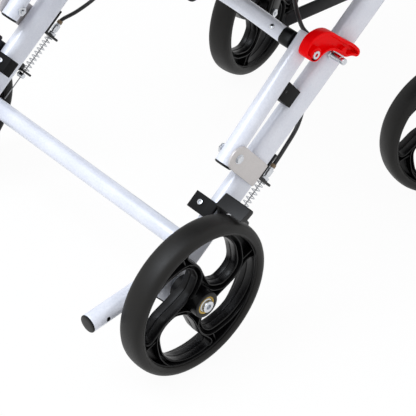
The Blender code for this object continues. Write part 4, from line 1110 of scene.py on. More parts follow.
def add_latch_levers():
    outline = lever_outline()
    face, out = LEG_SIDE, LEG_SIDE + 0.0120
    for name, side in SIDES.items():
        def place(a, b, depth):
            return on_leg(side, LEG_OUT + depth, LEVER_AT[0] + a, LEVER_AT[1] + b)

        centre, axis = place(0.0, 0.0, 0.0), (side, 0, 0)
        boss = turned([(face + 0.002, 0.0088), (out - 0.0010, 0.0086), (out - 0.0002, 0.0081),
                       (out, 0.0074), (out, DOT)], centre, axis)
        low_boss = turned([(face + 0.002, 0.0050), (out - 0.0016, 0.0048), (out - 0.0012, 0.0043),
                           (out - 0.0010, DOT)], place(0.0256, -0.0435, 0.0), axis)
        piece(f"red_latch_lever_{name}",
              [dished(outline, place, face, out, out - 0.0060), boss, low_boss], RED_ABS,
              f"latch_{name}", [f"latch_lever_{name}"])
        screw = socket_head(place(0.0, 0.0, out - 0.0008), axis, 0.0052, 0.0022, 0.0024)
        piece(f"latch_screw_{name}", [screw], BRIGHT_ZINC, f"latch_{name}")


add_latch_levers()

# %% [markdown]
# ## Front frame
# The front leg and the seat rail are one tube, drawn round a former. The caster's housing is
# a nylon sleeve pressed over its foot. Flat cheeks make the hinge for the rear leg, and
# upright plates outside the rail carry the back post and the armrest's strut.

# %% Side frames
TUBE_R = 0.0125
HOUSING_TOP = 0.262
LEG_FOOT = (STEM_FWD - 0.011, HOUSING_TOP)
LEG_HEAD_FWD = STEM_FWD - 0.093
RAIL_REAR = -0.012
RAIL_BEND = 0.060
STRUT_FWD = 0.300
PLATE_OUT, PLATE_FACE = 0.198, 0.2027
CHEEK_IN, CHEEK_OUT = 0.0046, 0.0096
BOLT_HEAD = (0.0120, 0.0040)
HINGE = (HINGE_ALONG * math.cos(LEG_ANGLE), WHEEL_R + HINGE_ALONG * math.sin(LEG_ANGLE))


def side_plate_outline(fwd, rear):
    points = [*arc((fwd, POST_FOOT_Z), 0.013, 0, math.pi, 26),
              (fwd + rear, RAIL_Z - 0.005), (fwd + 0.020, RAIL_Z - 0.005)]
    return eased(points, 0.003)


def add_side_frames():
    cheek = eased([*arc(HINGE, 0.0165, math.pi, math.tau, 26), (HINGE[0] + 0.024, RAIL_Z),
                   (HINGE[0] - 0.024, RAIL_Z)], 0.003)
    for name, side in SIDES.items():
        head = at(side, LEG_OUT, LEG_HEAD_FWD, RAIL_Z)
        foot = at(side, LEG_OUT, *LEG_FOOT)
        foot = foot - towards(foot, head) * 0.010
        rear = at(side, LEG_OUT, RAIL_REAR + 0.0024, RAIL_Z)
        line = bent([foot, head, rear], RAIL_BEND, 20)
        skins = [bar(line, circle(TUBE_R, 56), ACROSS, 0.0010)]
        skins += [plate(cheek, upright(side, LEG_OUT), *span)
                  for span in ((CHEEK_IN, CHEEK_OUT), (-CHEEK_OUT, -CHEEK_IN))]
        skins += [plate(side_plate_outline(*spot), upright(side), PLATE_OUT, PLATE_FACE)
                  for spot in ((0.0, -0.011), (STRUT_FWD, -0.020))]
        piece(f"side_frame_tube_{name}", skins, PEARL, "front_frame", [f"side_frame_{name}"])
        stem = at(side, STEM_OUT, STEM_FWD, 0)
        housing = [(0.2128, 0.0100), (0.2128, 0.0143), (0.2135, 0.0149), (0.2145, 0.0150),
                   (0.2215, 0.0150), (0.2225, 0.0146), (0.2450, 0.0142), (0.2462, 0.0150),
                   (0.2570, 0.0150), (0.2590, 0.0145), (0.2605, 0.0132), (0.2615, 0.0105),
                   (0.2620, 0.0060), (0.2620, DOT)]
        black = [turned(housing, stem, UP, 56), plug(rear, (0, 1, 0), TUBE_R)]
        piece(f"caster_housing_{name}", black, NYLON, "front_frame")
        axis = np.array([side, 0, 0])
        bolts = [hex_head(at(side, LEG_OUT + CHEEK_OUT, *HINGE), axis, 0.0130, 0.0045),
                 nut(at(side, LEG_OUT - CHEEK_OUT, *HINGE), -axis, 0.0130, 0.0050, 0.0035)]
        bolts += [nut(at(side, PLATE_OUT, fwd, POST_FOOT_Z), -axis, 0.0120, 0.0045, 0.0032)
                  for fwd in (0.0, STRUT_FWD)]
        piece(f"front_frame_bolts_{name}", bolts, BRIGHT_ZINC, "front_frame")


FRONT_CROSS_R, FRONT_CROSS_Z = 0.011, RAIL_Z - 0.127
FRONT_CROSS_FWD = (LEG_FOOT[0] + (FRONT_CROSS_Z - HOUSING_TOP) / (RAIL_Z - HOUSING_TOP)
                   * (LEG_HEAD_FWD - LEG_FOOT[0]))


def add_front_cross_tube():
    end = LEG_OUT - TUBE_R - 0.0003
    ends = [at(1, out, FRONT_CROSS_FWD, FRONT_CROSS_Z) for out in (-end, end)]
    skins = [bar(straight(*ends, 8), circle(FRONT_CROSS_R, 56), UP, 0.0004)]
    skins += [bead(centre, ACROSS, FRONT_CROSS_R + 0.0005) for centre in ends]
    piece("front_cross_bar", skins, PEARL, "front_frame", ["front_cross_tube"])


add_side_frames()
add_front_cross_tube()

# %% [markdown]
# The fold links are flat steel bars, painted black. They pull the lock frame up as the front
# frame folds. Each is clipped round the front cross tube.

# %% Fold links
LINK_OUT = LEG_OUT - 0.041
LINK_EYE = (FRONT_CROSS_FWD, FRONT_CROSS_Z)
LINK_REAR = 0.1865
LINK_EYE_R, LINK_HALF = 0.0155, 0.0085


def add_fold_links():
    rise = math.asin(LINK_HALF / LINK_EYE_R)
    outline = eased([*arc(LINK_EYE, LINK_EYE_R, -math.pi + rise, math.pi - rise, 36),
                     (LINK_REAR, FRONT_CROSS_Z + LINK_HALF),
                     (LINK_REAR, FRONT_CROSS_Z - LINK_HALF)], 0.005)
    for name, side in SIDES.items():
        centre = at(side, LINK_OUT, *LINK_EYE)
        collar = turned([(-0.0070, 0.0116), (-0.0070, 0.0138), (-0.0062, 0.0146),
                         (0.0062, 0.0146), (0.0070, 0.0138), (0.0070, 0.0116)], centre, ACROSS,
                        loop=True)
        piece(f"fold_link_bar_{name}",
              [plate(outline, upright(side, LINK_OUT), -0.002, 0.002), collar], BLACK_PAINT,
              "fold_links", [f"fold_link_{name}"])


add_fold_links()

# %% [markdown]
# ## Footrests
# Each hanger is a bent tube that ends under its footplate. The plate is moulded with a sleeve
# that turns on the tube, and low ribs on its tread keep a shoe from sliding.

# %% Footrests
HANGER_OUT = LEG_OUT - 0.025
HANGER_KNEE = (STEM_FWD + 0.153, 0.150)
HANGER_TOE = HANGER_KNEE[0] + 0.143
FOOTPLATE = (HANGER_KNEE[0] + 0.017, HANGER_KNEE[0] + 0.129)
HANGER_R, SLEEVE_R = 0.0100, 0.0141
TREAD_HALF, TREAD_RIBS = 0.003, 8


def add_footrests():
    for name, side in SIDES.items():
        knee = at(side, HANGER_OUT, *HANGER_KNEE)
        cross = at(side, HANGER_OUT, FRONT_CROSS_FWD, FRONT_CROSS_Z)
        toe = at(side, HANGER_OUT, HANGER_TOE - 0.0024, HANGER_KNEE[1])
        start = cross + towards(cross, knee) * 0.0108
        tube = bar(bent([start, knee, toe], 0.030, 16), circle(HANGER_R, 48), ACROSS, 0.0006)
        piece(f"hanger_tube_{name}",
              [tube, bead(start + towards(cross, knee) * 0.0012, towards(cross, knee), 0.0103)],
              PEARL, "front_frame", [f"footrest_hanger_{name}"])
        piece(f"hanger_plug_{name}", [plug(toe, (0, -1, 0), HANGER_R)], NYLON, "front_frame")
        add_footplate(name, side)


def add_footplate(name, side):
    first, last = FOOTPLATE
    middle, half_long = (first + last) / 2, (last - first) / 2
    reach = HANGER_OUT - 0.014
    half_wide = (reach - 0.008) / 2

    def place(a, b, depth):
        return at(side, HANGER_OUT - reach + half_wide + a, middle + b, HANGER_KNEE[1] + depth)

    outline = box_outline(half_wide, half_long - 0.0003, 0.016, 10)
    skins = [plate(outline, place, -TREAD_HALF, TREAD_HALF, 0.0012)]
    for b in np.linspace(-half_long + 0.018, half_long - 0.018, TREAD_RIBS):
        rib = box_outline(half_wide - 0.014, 0.0016, 0.0015, 5) + np.array([-0.004, b])
        skins.append(plate(rib, place, 0.0025, 0.0037, 0.0004))
    wall = [(first, HANGER_R + 0.0006), (first, 0.0135), (first + 0.0006, SLEEVE_R),
            (last - 0.0006, SLEEVE_R), (last, 0.0135), (last, HANGER_R + 0.0006)]
    skins.append(turned([(fwd - AXLE_Y, r) for fwd, r in wall],
                        at(side, HANGER_OUT, 0, HANGER_KNEE[1]) + np.array([0, -AXLE_Y, 0]),
                        (0, -1, 0), 56, loop=True))
    piece(f"footplate_tread_{name}", skins, NYLON, f"footrest_{name}", [f"footplate_{name}"])


add_footrests()

# %% [markdown]
# ## Back frame
# The back post is bent at its top to a handle. A ribbed rubber sleeve covers the handle, and
# the brake lever hangs from a clamp in front of it.

# %% Back posts and grips
POST_R = 0.011
POST_LEN = 0.400
POST_OUT = PLATE_FACE + 0.0003 + POST_R
HANDLE_END = -0.208
HANDLE_BEND = 0.030
GRIP_LEN, RING_PITCH = 0.098, 0.0064
HANDLE_UP = post_place(POST_LEN)[1]
LEVER_PIVOT = (HANDLE_END + 0.100, -0.020)


def add_back_posts():
    for name, side in SIDES.items():
        foot = at(side, POST_OUT, *post_place(-0.0158))
        top = at(side, POST_OUT, *post_place(POST_LEN))
        end = at(side, POST_OUT, HANDLE_END + 0.004, HANDLE_UP)
        tube = bar(bent([foot, top, end], HANDLE_BEND, 18), circle(POST_R, 48), ACROSS, 0.0006)
        piece(f"back_post_tube_{name}", [tube], PEARL, "back_frame", [f"back_post_{name}"])
        piece(f"back_post_plug_{name}", [plug(foot, towards(top, foot), POST_R)], NYLON,
              "back_frame")
        spot = at(side, POST_OUT + POST_R - 0.0010, 0, POST_FOOT_Z)
        bolt = hex_head(spot, (side, 0, 0), *BOLT_HEAD)
        piece(f"back_post_bolt_{name}", [bolt], BRIGHT_ZINC, "back_frame")
        add_grip(name, side)


def grip_profile():
    """Along the handle: a front flange, finger rings, and a closed round end."""
    rings = np.linspace(0.0105, GRIP_LEN - 0.009, 150)
    swell = 0.0146 + 0.0012 * np.abs(np.sin((rings - 0.0105) * math.pi / RING_PITCH)) ** 0.7
    swell += 0.0005 * np.sin(rings / GRIP_LEN * math.pi)
    front = [(0.0, 0.0115), (0.0, 0.0152), (0.0008, 0.0160), (0.0022, 0.0163), (0.0050, 0.0163),
             (0.0060, 0.0158), (0.0066, 0.0146)]
    back = [(GRIP_LEN - 0.0070, 0.0152), (GRIP_LEN - 0.0045, 0.0156), (GRIP_LEN - 0.0022, 0.0150),
            (GRIP_LEN - 0.0008, 0.0132), (GRIP_LEN - 0.0001, 0.0095), (GRIP_LEN, 0.0050),
            (GRIP_LEN, DOT)]
    return front + list(zip(rings.tolist(), swell.tolist())) + back


def add_grip(name, side):
    start = HANDLE_END + GRIP_LEN
    piece(f"grip_sleeve_{name}",
          [turned(grip_profile(), at(side, POST_OUT, start, HANDLE_UP), (0, 1, 0), 56)], RUBBER,
          "back_frame", [f"push_grip_{name}"])
    collar = [(-0.0004, 0.0112), (-0.0004, 0.0142), (0.0006, 0.0150), (0.0112, 0.0150),
              (0.0120, 0.0142), (0.0120, 0.0112)]
    ring = turned(collar, at(side, POST_OUT, start, HANDLE_UP), (0, -1, 0), 56, loop=True)
    pivot_fwd, drop = LEVER_PIVOT
    low, high = HANDLE_UP + drop - 0.006, HANDLE_UP - 0.010
    lug = eased([(pivot_fwd - 0.006, low), (pivot_fwd + 0.010, low), (pivot_fwd + 0.010, high),
                 (pivot_fwd - 0.006, high)], 0.003)
    skins = [ring, plate(lug, upright(side, POST_OUT), -0.0035, 0.0035, 0.0008)]
    boss = turned([(0.0, 0.0034), (0.0, 0.0046), (0.0060, 0.0044), (0.0066, 0.0038),
                   (0.0066, 0.0030), (0.0, 0.0030)],
                  at(side, POST_OUT, pivot_fwd + 0.0036, HANDLE_UP + drop), (0, -1, 0), 40,
                  loop=True)
    piece(f"lever_clamp_{name}", skins + [boss], NYLON, "back_frame")


# %% [markdown]
# The brake lever is moulded in black nylon: two cheeks hold the lug, and the blade behind
# them thins towards its tip.

# %% Hand levers
def add_hand_levers():
    pivot = (LEVER_PIVOT[0] + 0.002, HANDLE_UP + LEVER_PIVOT[1])
    cheek = eased(np.array([(0.007, -0.008), (0.006, 0.002), (-0.008, 0.001), (-0.026, -0.0073),
                            (-0.026, -0.0170)]) + pivot, 0.003)
    blade = eased(np.array([(-0.0225, -0.0057), (-0.030, -0.009), (-0.084, -0.0175),
                            (-0.096, -0.022), (-0.096, -0.028), (-0.034, -0.0195),
                            (-0.0225, -0.0160)]) + pivot, 0.004)
    for name, side in SIDES.items():
        place = upright(side, POST_OUT)
        skins = [plate(cheek, place, *span, 0.0012) for span in ((-0.008, -0.0042),
                                                                (0.0042, 0.008))]
        skins.append(plate(resampled(blade, 120), place, -0.008, 0.008, 0.0022))
        piece(f"hand_lever_{name}", skins, NYLON, f"hand_lever_{name}", [f"brake_lever_{name}"])
        pin = turned([(-0.0086, DOT), (-0.0086, 0.0022), (-0.0080, 0.0028), (0.0080, 0.0028),
                      (0.0086, 0.0022), (0.0086, DOT)], at(side, POST_OUT, *pivot), ACROSS, 32)
        piece(f"hand_lever_pin_{name}", [pin], BRIGHT_ZINC, f"hand_lever_{name}")


add_back_posts()
add_hand_levers()

# %% [markdown]
# ## Armrests
# A flat bar carries the pad. It hangs on the back post and a strut, so it stays level while
# the back folds.

# %% Armrest bars and struts
ARM_UP, ARM_HALF = 0.212, 0.013
ARM_REAR = post_place(ARM_UP)
ARM_FRONT = (ARM_REAR[0] + STRUT_FWD, ARM_REAR[1])
BAR_OUT, BAR_THICK = POST_OUT + POST_R + 0.0005, 0.006


def add_armrests():
    quarter = math.pi / 2
    front_end = (ARM_FRONT[0] + ARM_HALF, ARM_FRONT[1])
    outline = eased([*arc(ARM_REAR, ARM_HALF, quarter, 3 * quarter, 24),
                     *arc(front_end, ARM_HALF, -quarter, quarter, 24)], 0.001)
    for name, side in SIDES.items():
        axis = (side, 0, 0)
        ends = [at(side, POST_OUT, STRUT_FWD + 0.002, POST_FOOT_Z - 0.0118),
                at(side, POST_OUT, ARM_FRONT[0] - 0.002, ARM_FRONT[1] + 0.0118)]
        tube = bar(straight(*ends, 6), circle(POST_R, 48), ACROSS, 0.0006)
        piece(f"arm_strut_tube_{name}", [tube], PEARL, f"strut_{name}", [f"armrest_strut_{name}"])
        plugs = [plug(tip, towards(other, tip), POST_R) for tip, other in (ends, ends[::-1])]
        piece(f"arm_strut_plugs_{name}", plugs, NYLON, f"strut_{name}")
        spot = at(side, POST_OUT + POST_R - 0.001, STRUT_FWD, POST_FOOT_Z)
        bolt = hex_head(spot, axis, *BOLT_HEAD)
        piece(f"arm_strut_bolt_{name}", [bolt], BRIGHT_ZINC, f"strut_{name}")
        piece(f"arm_bar_{name}",
              [plate(outline, upright(side), BAR_OUT, BAR_OUT + BAR_THICK, 0.0010)], PEARL,
              f"armrest_{name}", [f"armrest_bar_{name}"])
        bolts = [hex_head(at(side, BAR_OUT + BAR_THICK - 0.0005, *spot), axis, 0.0120, 0.0032)
                 for spot in (ARM_REAR, ARM_FRONT)]
        piece(f"arm_bar_bolts_{name}", bolts, BRIGHT_ZINC, f"armrest_{name}")


add_armrests()

# %% [markdown]
# ## Brakes
# Each brake is a black steel arm that a cable pulls. Its shoe is a folded plate over the
# tyre. A spring round the inner wire pushes the arm back, between the arm's tab and the
# stop where the cable's sheath ends in a barrel adjuster.

# %% Brake arms, mounts and stops
BRAKE_AT = (WHEEL_R - 0.007, 0.002)
ARM_FACE = (LEG_SIDE, LEG_SIDE + 0.004)
SHOE_TO, SHOE_GAP = WHEEL_R + 0.015, 0.0024
SHOE_OUT = REAR_WHEEL_OUT + 0.0135
CABLE_AT = (LEG_OUT + 0.001, -0.037)
TAB_ALONG = WHEEL_R - 0.0055
STOP_ALONG, STOP_THICK = WHEEL_R + 0.050, 0.003
BARREL_LEN = 0.017


def add_brake_arms():
    tab_end = CABLE_AT[1] - 0.009
    arm = eased([(TAB_ALONG, tab_end), (TAB_ALONG + 0.009, tab_end),
                 (BRAKE_AT[0] + 0.013, -0.014), (SHOE_TO - 0.004, 0.003),
                 (SHOE_TO - 0.004, 0.026), (SHOE_TO - 0.015, 0.030),
                 (BRAKE_AT[0] - 0.005, 0.013), (BRAKE_AT[0] - 0.009, BRAKE_AT[1]),
                 (BRAKE_AT[0] - 0.005, -0.007)], 0.004)
    under = arc((0, 0), WHEEL_R + SHOE_GAP, math.radians(18), math.radians(12), 12)
    shoe = eased([*under, (SHOE_TO - 0.002, 0.0195), (SHOE_TO, 0.0220), (SHOE_TO, 0.0275)], 0.0016)
    tab = eased([(-0.006, CABLE_AT[1] - 0.0088), (0.0143, CABLE_AT[1] - 0.0088),
                 (0.0143, CABLE_AT[1] + 0.008), (-0.006, CABLE_AT[1] + 0.008)], 0.003)
    for name, side in SIDES.items():
        sheet = leg_sheet(side)
        skins = [plate(arm, sheet, *ARM_FACE),
                 plate(shoe, sheet, LEG_SIDE + 0.001, SHOE_OUT - LEG_OUT, 0.0005),
                 plate(tab, leg_slice(side), TAB_ALONG + 0.0002, TAB_ALONG + 0.003)]
        piece(f"brake_arm_steel_{name}", skins, BLACK_PAINT, f"brake_{name}",
              [f"brake_arm_{name}"])
        axis = (side, 0, 0)
        bolts = [socket_head(sheet(*BRAKE_AT, ARM_FACE[1]), axis, 0.0058, 0.0020, 0.0026)]
        piece(f"brake_pivot_screw_{name}", bolts, BRIGHT_ZINC, f"brake_{name}")


def add_brake_mounts():
    top, lid = OVAL_TOP, OVAL_TOP + 0.0065
    outline = eased([(0.010, top), (0.010, top + 0.004), (-0.0005, lid), (-0.0235, lid),
                     (-0.0235, 0.008), (-LEG_HALF, 0.008), (-LEG_HALF, top)], 0.0014)
    for name, side in SIDES.items():
        block = plate(outline, leg_slice(side), 0.078, 0.099, 0.0008)
        piece(f"brake_mount_block_{name}", [block], DRY_NYLON, "rear_frame",
              [f"brake_mount_{name}"])
        screw_at = on_leg(side, LEG_OUT - 0.0100, 0.0895, lid)
        nut_at = on_leg(side, LEG_OUT - 0.0098, 0.0930, -0.0020)
        screws = [socket_head(screw_at, OVER_LEG, 0.0034, 0.0020, 0.0015),
                  dome(nut_at, (-side, 0, 0), 0.0050, 0.0042)]
        piece(f"brake_mount_screw_{name}", screws, BRIGHT_ZINC, "rear_frame")


def barrel_skins(side):
    """A knurled lock nut and the adjusting barrel: six-sided rows stand for the knurl."""
    centre = on_leg(side, CABLE_AT[0], STOP_ALONG + STOP_THICK, CABLE_AT[1])
    ring = [(0.0, 0.0044), (0.0, 0.0052), (0.0006, 0.0056), (0.0036, 0.0056),
            (0.0042, 0.0052), (0.0042, 0.0036)]
    body = [(0.0042, 0.0036), (0.0062, 0.0036), (0.0064, 0.0042), (0.0070, 0.0045),
            (0.0140, 0.0045), (0.0148, 0.0042), (0.0152, 0.0033), (BARREL_LEN, 0.0030),
            (BARREL_LEN, DOT)]
    return [turned(ring, centre, ALONG_LEG, 48, six=(1, 2, 3, 4)), turned(body, centre, ALONG_LEG)]


def add_cable_stops():
    top = -OVAL_TOP
    face, end, low = STOP_ALONG + STOP_THICK, STOP_ALONG + 0.034, CABLE_AT[1] - 0.010
    profile = eased([(STOP_ALONG, low), (face, low), (face, top - STOP_THICK),
                     (end, top - STOP_THICK), (end, top), (STOP_ALONG, top)], 0.0012)
    for name, side in SIDES.items():
        def place(a, b, depth):
            return on_leg(side, CABLE_AT[0] + depth, a, b)

        piece(f"cable_stop_strip_{name}", [plate(profile, place, -0.007, 0.007)], BLACK_PAINT,
              "rear_frame", [f"cable_stop_{name}"])
        spot = on_leg(side, CABLE_AT[0], STOP_ALONG + 0.023, top - STOP_THICK)
        screw = dome(spot, -OVER_LEG, 0.0034, 0.0016)
        piece(f"barrel_adjuster_{name}", barrel_skins(side) + [screw], BRIGHT_ZINC, "rear_frame")
        sleeve = [(0.0172, 0.0026), (0.0172, 0.0033), (0.0176, 0.0036), (0.0212, 0.0034),
                  (0.0216, 0.0030), (0.0216, 0.0026)]
        centre = on_leg(side, CABLE_AT[0], face, CABLE_AT[1])
        piece(f"cable_ferrule_{name}", [turned(sleeve, centre, ALONG_LEG, loop=True)], FERRULE,
              "rear_frame")


SPRING_R, CURLS, POINTS_PER_CURL = 0.0046, 10, 20
INNER_WIRE_FOOT = {"right": 0.080, "left": 0.054}


def add_brake_springs():
    """The coil climbs evenly, but for a flat part of a curl at each end."""
    low, high = TAB_ALONG + 0.0033, STOP_ALONG - 0.0003
    turn = np.linspace(0, CURLS * math.tau, CURLS * POINTS_PER_CURL + 1)
    share = np.clip((turn / turn[-1] * (CURLS + 0.8) - 0.4) / CURLS, 0, 1)
    along = low + 0.0007 + (high - low - 0.0014) * share
    for name, side in SIDES.items():
        coil = on_leg(side, CABLE_AT[0] + SPRING_R * np.cos(turn), along,
                      CABLE_AT[1] + SPRING_R * np.sin(turn))
        middle = on_leg(side, CABLE_AT[0], along, CABLE_AT[1])
        spring = skin(carried(coil, circle(0.0006, 10), coil - middle))
        made = piece(f"brake_spring_wire_{name}", [spring], BRIGHT_ZINC, None,
                     [f"brake_spring_{name}"])
        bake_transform(made)
        wire = straight(on_leg(side, CABLE_AT[0], INNER_WIRE_FOOT[name], CABLE_AT[1]),
                        on_leg(side, CABLE_AT[0], STOP_ALONG + 0.01, CABLE_AT[1]), 8)
        piece(f"brake_inner_wire_{name}", [skin(carried(wire, circle(0.0007, 10), ACROSS))], WIRE,
              "rear_frame")
        spot = on_leg(side, CABLE_AT[0], TAB_ALONG - 0.0042, CABLE_AT[1])
        clamp = [turned([(-0.0035, DOT), (-0.0035, 0.0032), (0.0030, 0.0032), (0.0035, 0.0027),
                         (0.0035, DOT)], spot, (side, 0, 0), 32),
                 nut(spot + np.array([side * 0.0034, 0, 0]), (side, 0, 0), 0.0066, 0.0024, 0.0016)]
        piece(f"wire_clamp_{name}", clamp, BRIGHT_ZINC, f"brake_{name}")


add_brake_arms()
add_brake_mounts()
add_cable_stops()
add_brake_springs()

# %% [markdown]
# ## Brake cables
# The cable is held all the way from the barrel adjuster to the hand lever, so it is a piece
# of the chair and no free cord. It follows the solid's points, lifted a little off the leg
# where it hangs loose, on a smooth curve with a finer step.

# %% Brake cables
CABLE_MEET = (LEG_OUT - 0.0165, 0.095, RAIL_Z - 0.0035)
CABLE_UP_LEG = [(-.0030, .1971, -.0455), (-.0090, .2256, -.0501), (-.0165, .2516, -.0418),
                (-.0200, .2826, -.0217), (-.0210, .3105, .0139), (-.0240, .3159, .0462)]
CABLE_TO_RAIL = [(-.0280, .1830, .297), (-.0260, .1720, .609), (-.0200, .1480, .875),
                 (-.0165, .1180, .973)]
CABLE_ROUND_RAIL = [(-.0165, .0500, -.0035), (-.0165, -.0080, -.0035), (-.0100, -.0300, .0050),
                    (.0100, -.0330, .0320)]
CABLE_UP_POST = [(.1485, -.0200), (.4007, -.0164), (.6548, -.0168), (.8573, -.0157)]
CABLE_SLACK = {-1: (.0040, .0040, 0, 0, 0, 0), 1: (-.0020, -.0035, -.0025, 0, 0, 0)}
CABLE_R = 0.0025


def smooth_route(points, step=0.005):
    """Catmull-Rom through the points, then evened out to the step."""
    p = np.asarray(points, float)
    t = np.arange(24)[:, None] / 24
    curves = [between(*p[i - 1:i + 3], t) for i in range(1, len(p) - 2)]
    fine = np.vstack([p[:1], *curves, p[-2:]])
    length = run_of(fine)[-1]
    return points_on(fine, np.linspace(0, length, round(length / step) + 1)), length


def lower_route(side):
    foot = STOP_ALONG + STOP_THICK + BARREL_LEN + 0.0003
    slack = CABLE_SLACK[side]
    points = [on_leg(side, CABLE_AT[0], foot + d, CABLE_AT[1]) for d in (0, 0.006)]
    points += [on_leg(side, LEG_OUT + off, along, over + more)
               for (off, along, over), more in zip(CABLE_UP_LEG, slack)]
    low = points[-1][2]
    points += [at(side, LEG_OUT + off, fwd, low + share * (RAIL_Z - low))
               for off, fwd, share in CABLE_TO_RAIL]
    out, fwd, up = CABLE_MEET
    return points + [at(side, out, fwd + d, up) for d in (0.006, 0)]


def upper_route(side):
    out, fwd, up = CABLE_MEET
    points = [at(side, out, fwd - d, up) for d in (0.0003, 0.006)]
    points += [at(side, LEG_OUT + off, fwd, RAIL_Z + up) for off, fwd, up in CABLE_ROUND_RAIL]
    points += [at(side, POST_OUT, *post_place(share * POST_LEN, ahead))
               for share, ahead in CABLE_UP_POST]
    face, up = LEVER_PIVOT[0] + 0.0103, HANDLE_UP + LEVER_PIVOT[1]
    return points + [at(side, POST_OUT, face + d, up) for d in (0.006, 0)]


def add_cable(name, node, route, start, end):
    line, length = smooth_route(route)
    made = piece(name, [skin(carried(line, circle(CABLE_R, 20), steady_guide(line)))], SHEATH,
                 None, [node])
    tuple(start)
    tuple(end)
    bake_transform(made)
    print(name, "is", round(float(length), 3), "m long")


def steady_guide(line):
    """A direction beside the path that turns with it, carried from point to point."""
    along = np.gradient(line, axis=0)
    along /= np.linalg.norm(along, axis=1, keepdims=True)
    guide = [np.cross(along[0], (0.3, 0.2, 0.9))]
    for direction in along[1:]:
        last = guide[-1] - direction * (guide[-1] @ direction)
        guide.append(last / np.linalg.norm(last))
    return np.array(guide)


def add_brake_cables():
    for name, side in SIDES.items():
        low, high = lower_route(side), upper_route(side)
        add_cable(f"brake_cable_run_{name}", f"brake_cable_lower_{name}", low,
                  low[4], low[-3])
        add_cable(f"brake_cable_rise_{name}", f"brake_cable_upper_{name}", high,
                  high[3], high[7])


add_brake_cables()

# %% [markdown]
# ## Padded fabric
# Seat and back are nylon covers sewn over foam. A cover filled with foam is a balloon that
# cannot stretch much: its middle rises, its corners pull in. So a slightly smaller form is
# remeshed evenly, blown up for twenty frames as cloth under pressure, and its movement is
# capped. Then it is drawn out to its real size. Sewn channels, stitches and the tape round
# the rim come last, because they are finer than the mesh.

# %% Blowing up a cover
def pillow(place, half_w, low, high, thick, crown, rows=56, columns=44):
    """u runs across and v along: the top rises by crown times (1-u^4)(1-v^4) over a form
    whose rim is a half round of the edge's thickness."""
    v = np.linspace(0, 1, rows + 1)[:, None]
    rim = np.linspace(-math.pi / 2, math.pi / 2, 9)[None, 1:-1]
    u = np.linspace(-1, 1, columns + 1)[None, :]
    ease = (1 - np.abs(2 * v - 1) ** 10) ** 0.5 * 0.9 + 0.1
    half = half_w * (0.985 + 0.015 * (1 - np.abs(2 * v - 1) ** 6))
    along = low + (high - low) * v
    inner = half - thick / 2
    swell = (1 - u**4) * (1 - (2 * v - 1) ** 4)
    middle = thick / 2
    top = (u * inner, along + 0 * u, middle + (middle + crown * swell) * ease)
    bottom = (-u * inner, along + 0 * u, middle - middle * ease + 0 * u)
    reach, drop = middle * np.cos(rim) * ease, middle * np.sin(rim) * ease
    right = (inner + reach, along + 0 * rim, middle - drop)
    left = (-inner - reach, along + 0 * rim, middle + drop)
    grid = [np.concatenate(parts, 1) for parts in zip(top, right, bottom, left)]
    return skin(place(*grid))


def blown_up(name, start, voxel, cap, pressure=4.0, frames=20):
    """The skin as an even mesh, swollen by cloth pressure. Returns points and faces."""
    mesh = bpy.data.meshes.new(name)
    mesh.from_pydata(start[0].tolist(), [], start[1])
    cover = in_scene(name, mesh)
    even = cover.modifiers.new("even", "REMESH")
    even.mode = "VOXEL"
    even.voxel_size = voxel
    bpy.context.view_layer.update()
    deps = bpy.context.evaluated_depsgraph_get()
    remeshed = bpy.data.meshes.new_from_object(cover.evaluated_get(deps))
    cover.modifiers.clear()
    cover.data = remeshed
    points = np.empty(len(remeshed.vertices) * 3)
    remeshed.vertices.foreach_get("co", points)
    points = points.reshape(-1, 3)
    faces = [list(face.vertices) for face in remeshed.polygons]
    points = points + swelling(cover, points, cap, pressure, frames)
    bpy.data.objects.remove(cover)
    return points, faces


def swelling(cover, points, cap, pressure, frames):
    """How far each point moves under the pressure, at most cap."""
    scene = bpy.context.scene
    cloth = cover.modifiers.new("cloth", "CLOTH")
    cloth.settings.quality = 4
    cloth.settings.mass = 0.3
    cloth.settings.use_pressure = True
    cloth.settings.uniform_pressure_force = pressure
    cloth.settings.effector_weights.gravity = 0.0
    cloth.point_cache.frame_start = 1
    cloth.point_cache.frame_end = frames
    for step in range(1, frames + 1):
        scene.frame_set(step)
    deps = bpy.context.evaluated_depsgraph_get()
    moved = cover.evaluated_get(deps).to_mesh()
    after = np.empty(len(points) * 3)
    moved.vertices.foreach_get("co", after)
    shift = after.reshape(-1, 3) - points
    size = np.linalg.norm(shift, axis=1, keepdims=True)
    print(cover.name, "swelled by up to", round(float(size.max()) * 1000, 1), "mm")
    scene.frame_set(1)
    return shift * np.minimum(1, cap / np.maximum(size, 1e-9))


def filled_out(local, half, low, high):
    """Remeshing takes a little off a thin rim, so the form is drawn out to its real size."""
    local[:, 0] *= half / np.abs(local[:, 0]).max()
    first, last = local[:, 1].min(), local[:, 1].max()
    local[:, 1] = low + (local[:, 1] - first) * (high - low) / (last - first)


def channels(local, lines, depth, width):
    """How deep the sewn lines pull the top in: a Gaussian dip about each line."""
    dip = np.zeros(len(local))
    for axis, value, first, last in lines:
        other = local[:, 1 - axis]
        inside = 1 / (1 + np.exp(-(other - first) / 0.004)) / (1 + np.exp((other - last) / 0.004))
        dip = np.maximum(dip, np.exp(-(((local[:, axis] - value) / width) ** 2)) * inside)
    return depth * dip


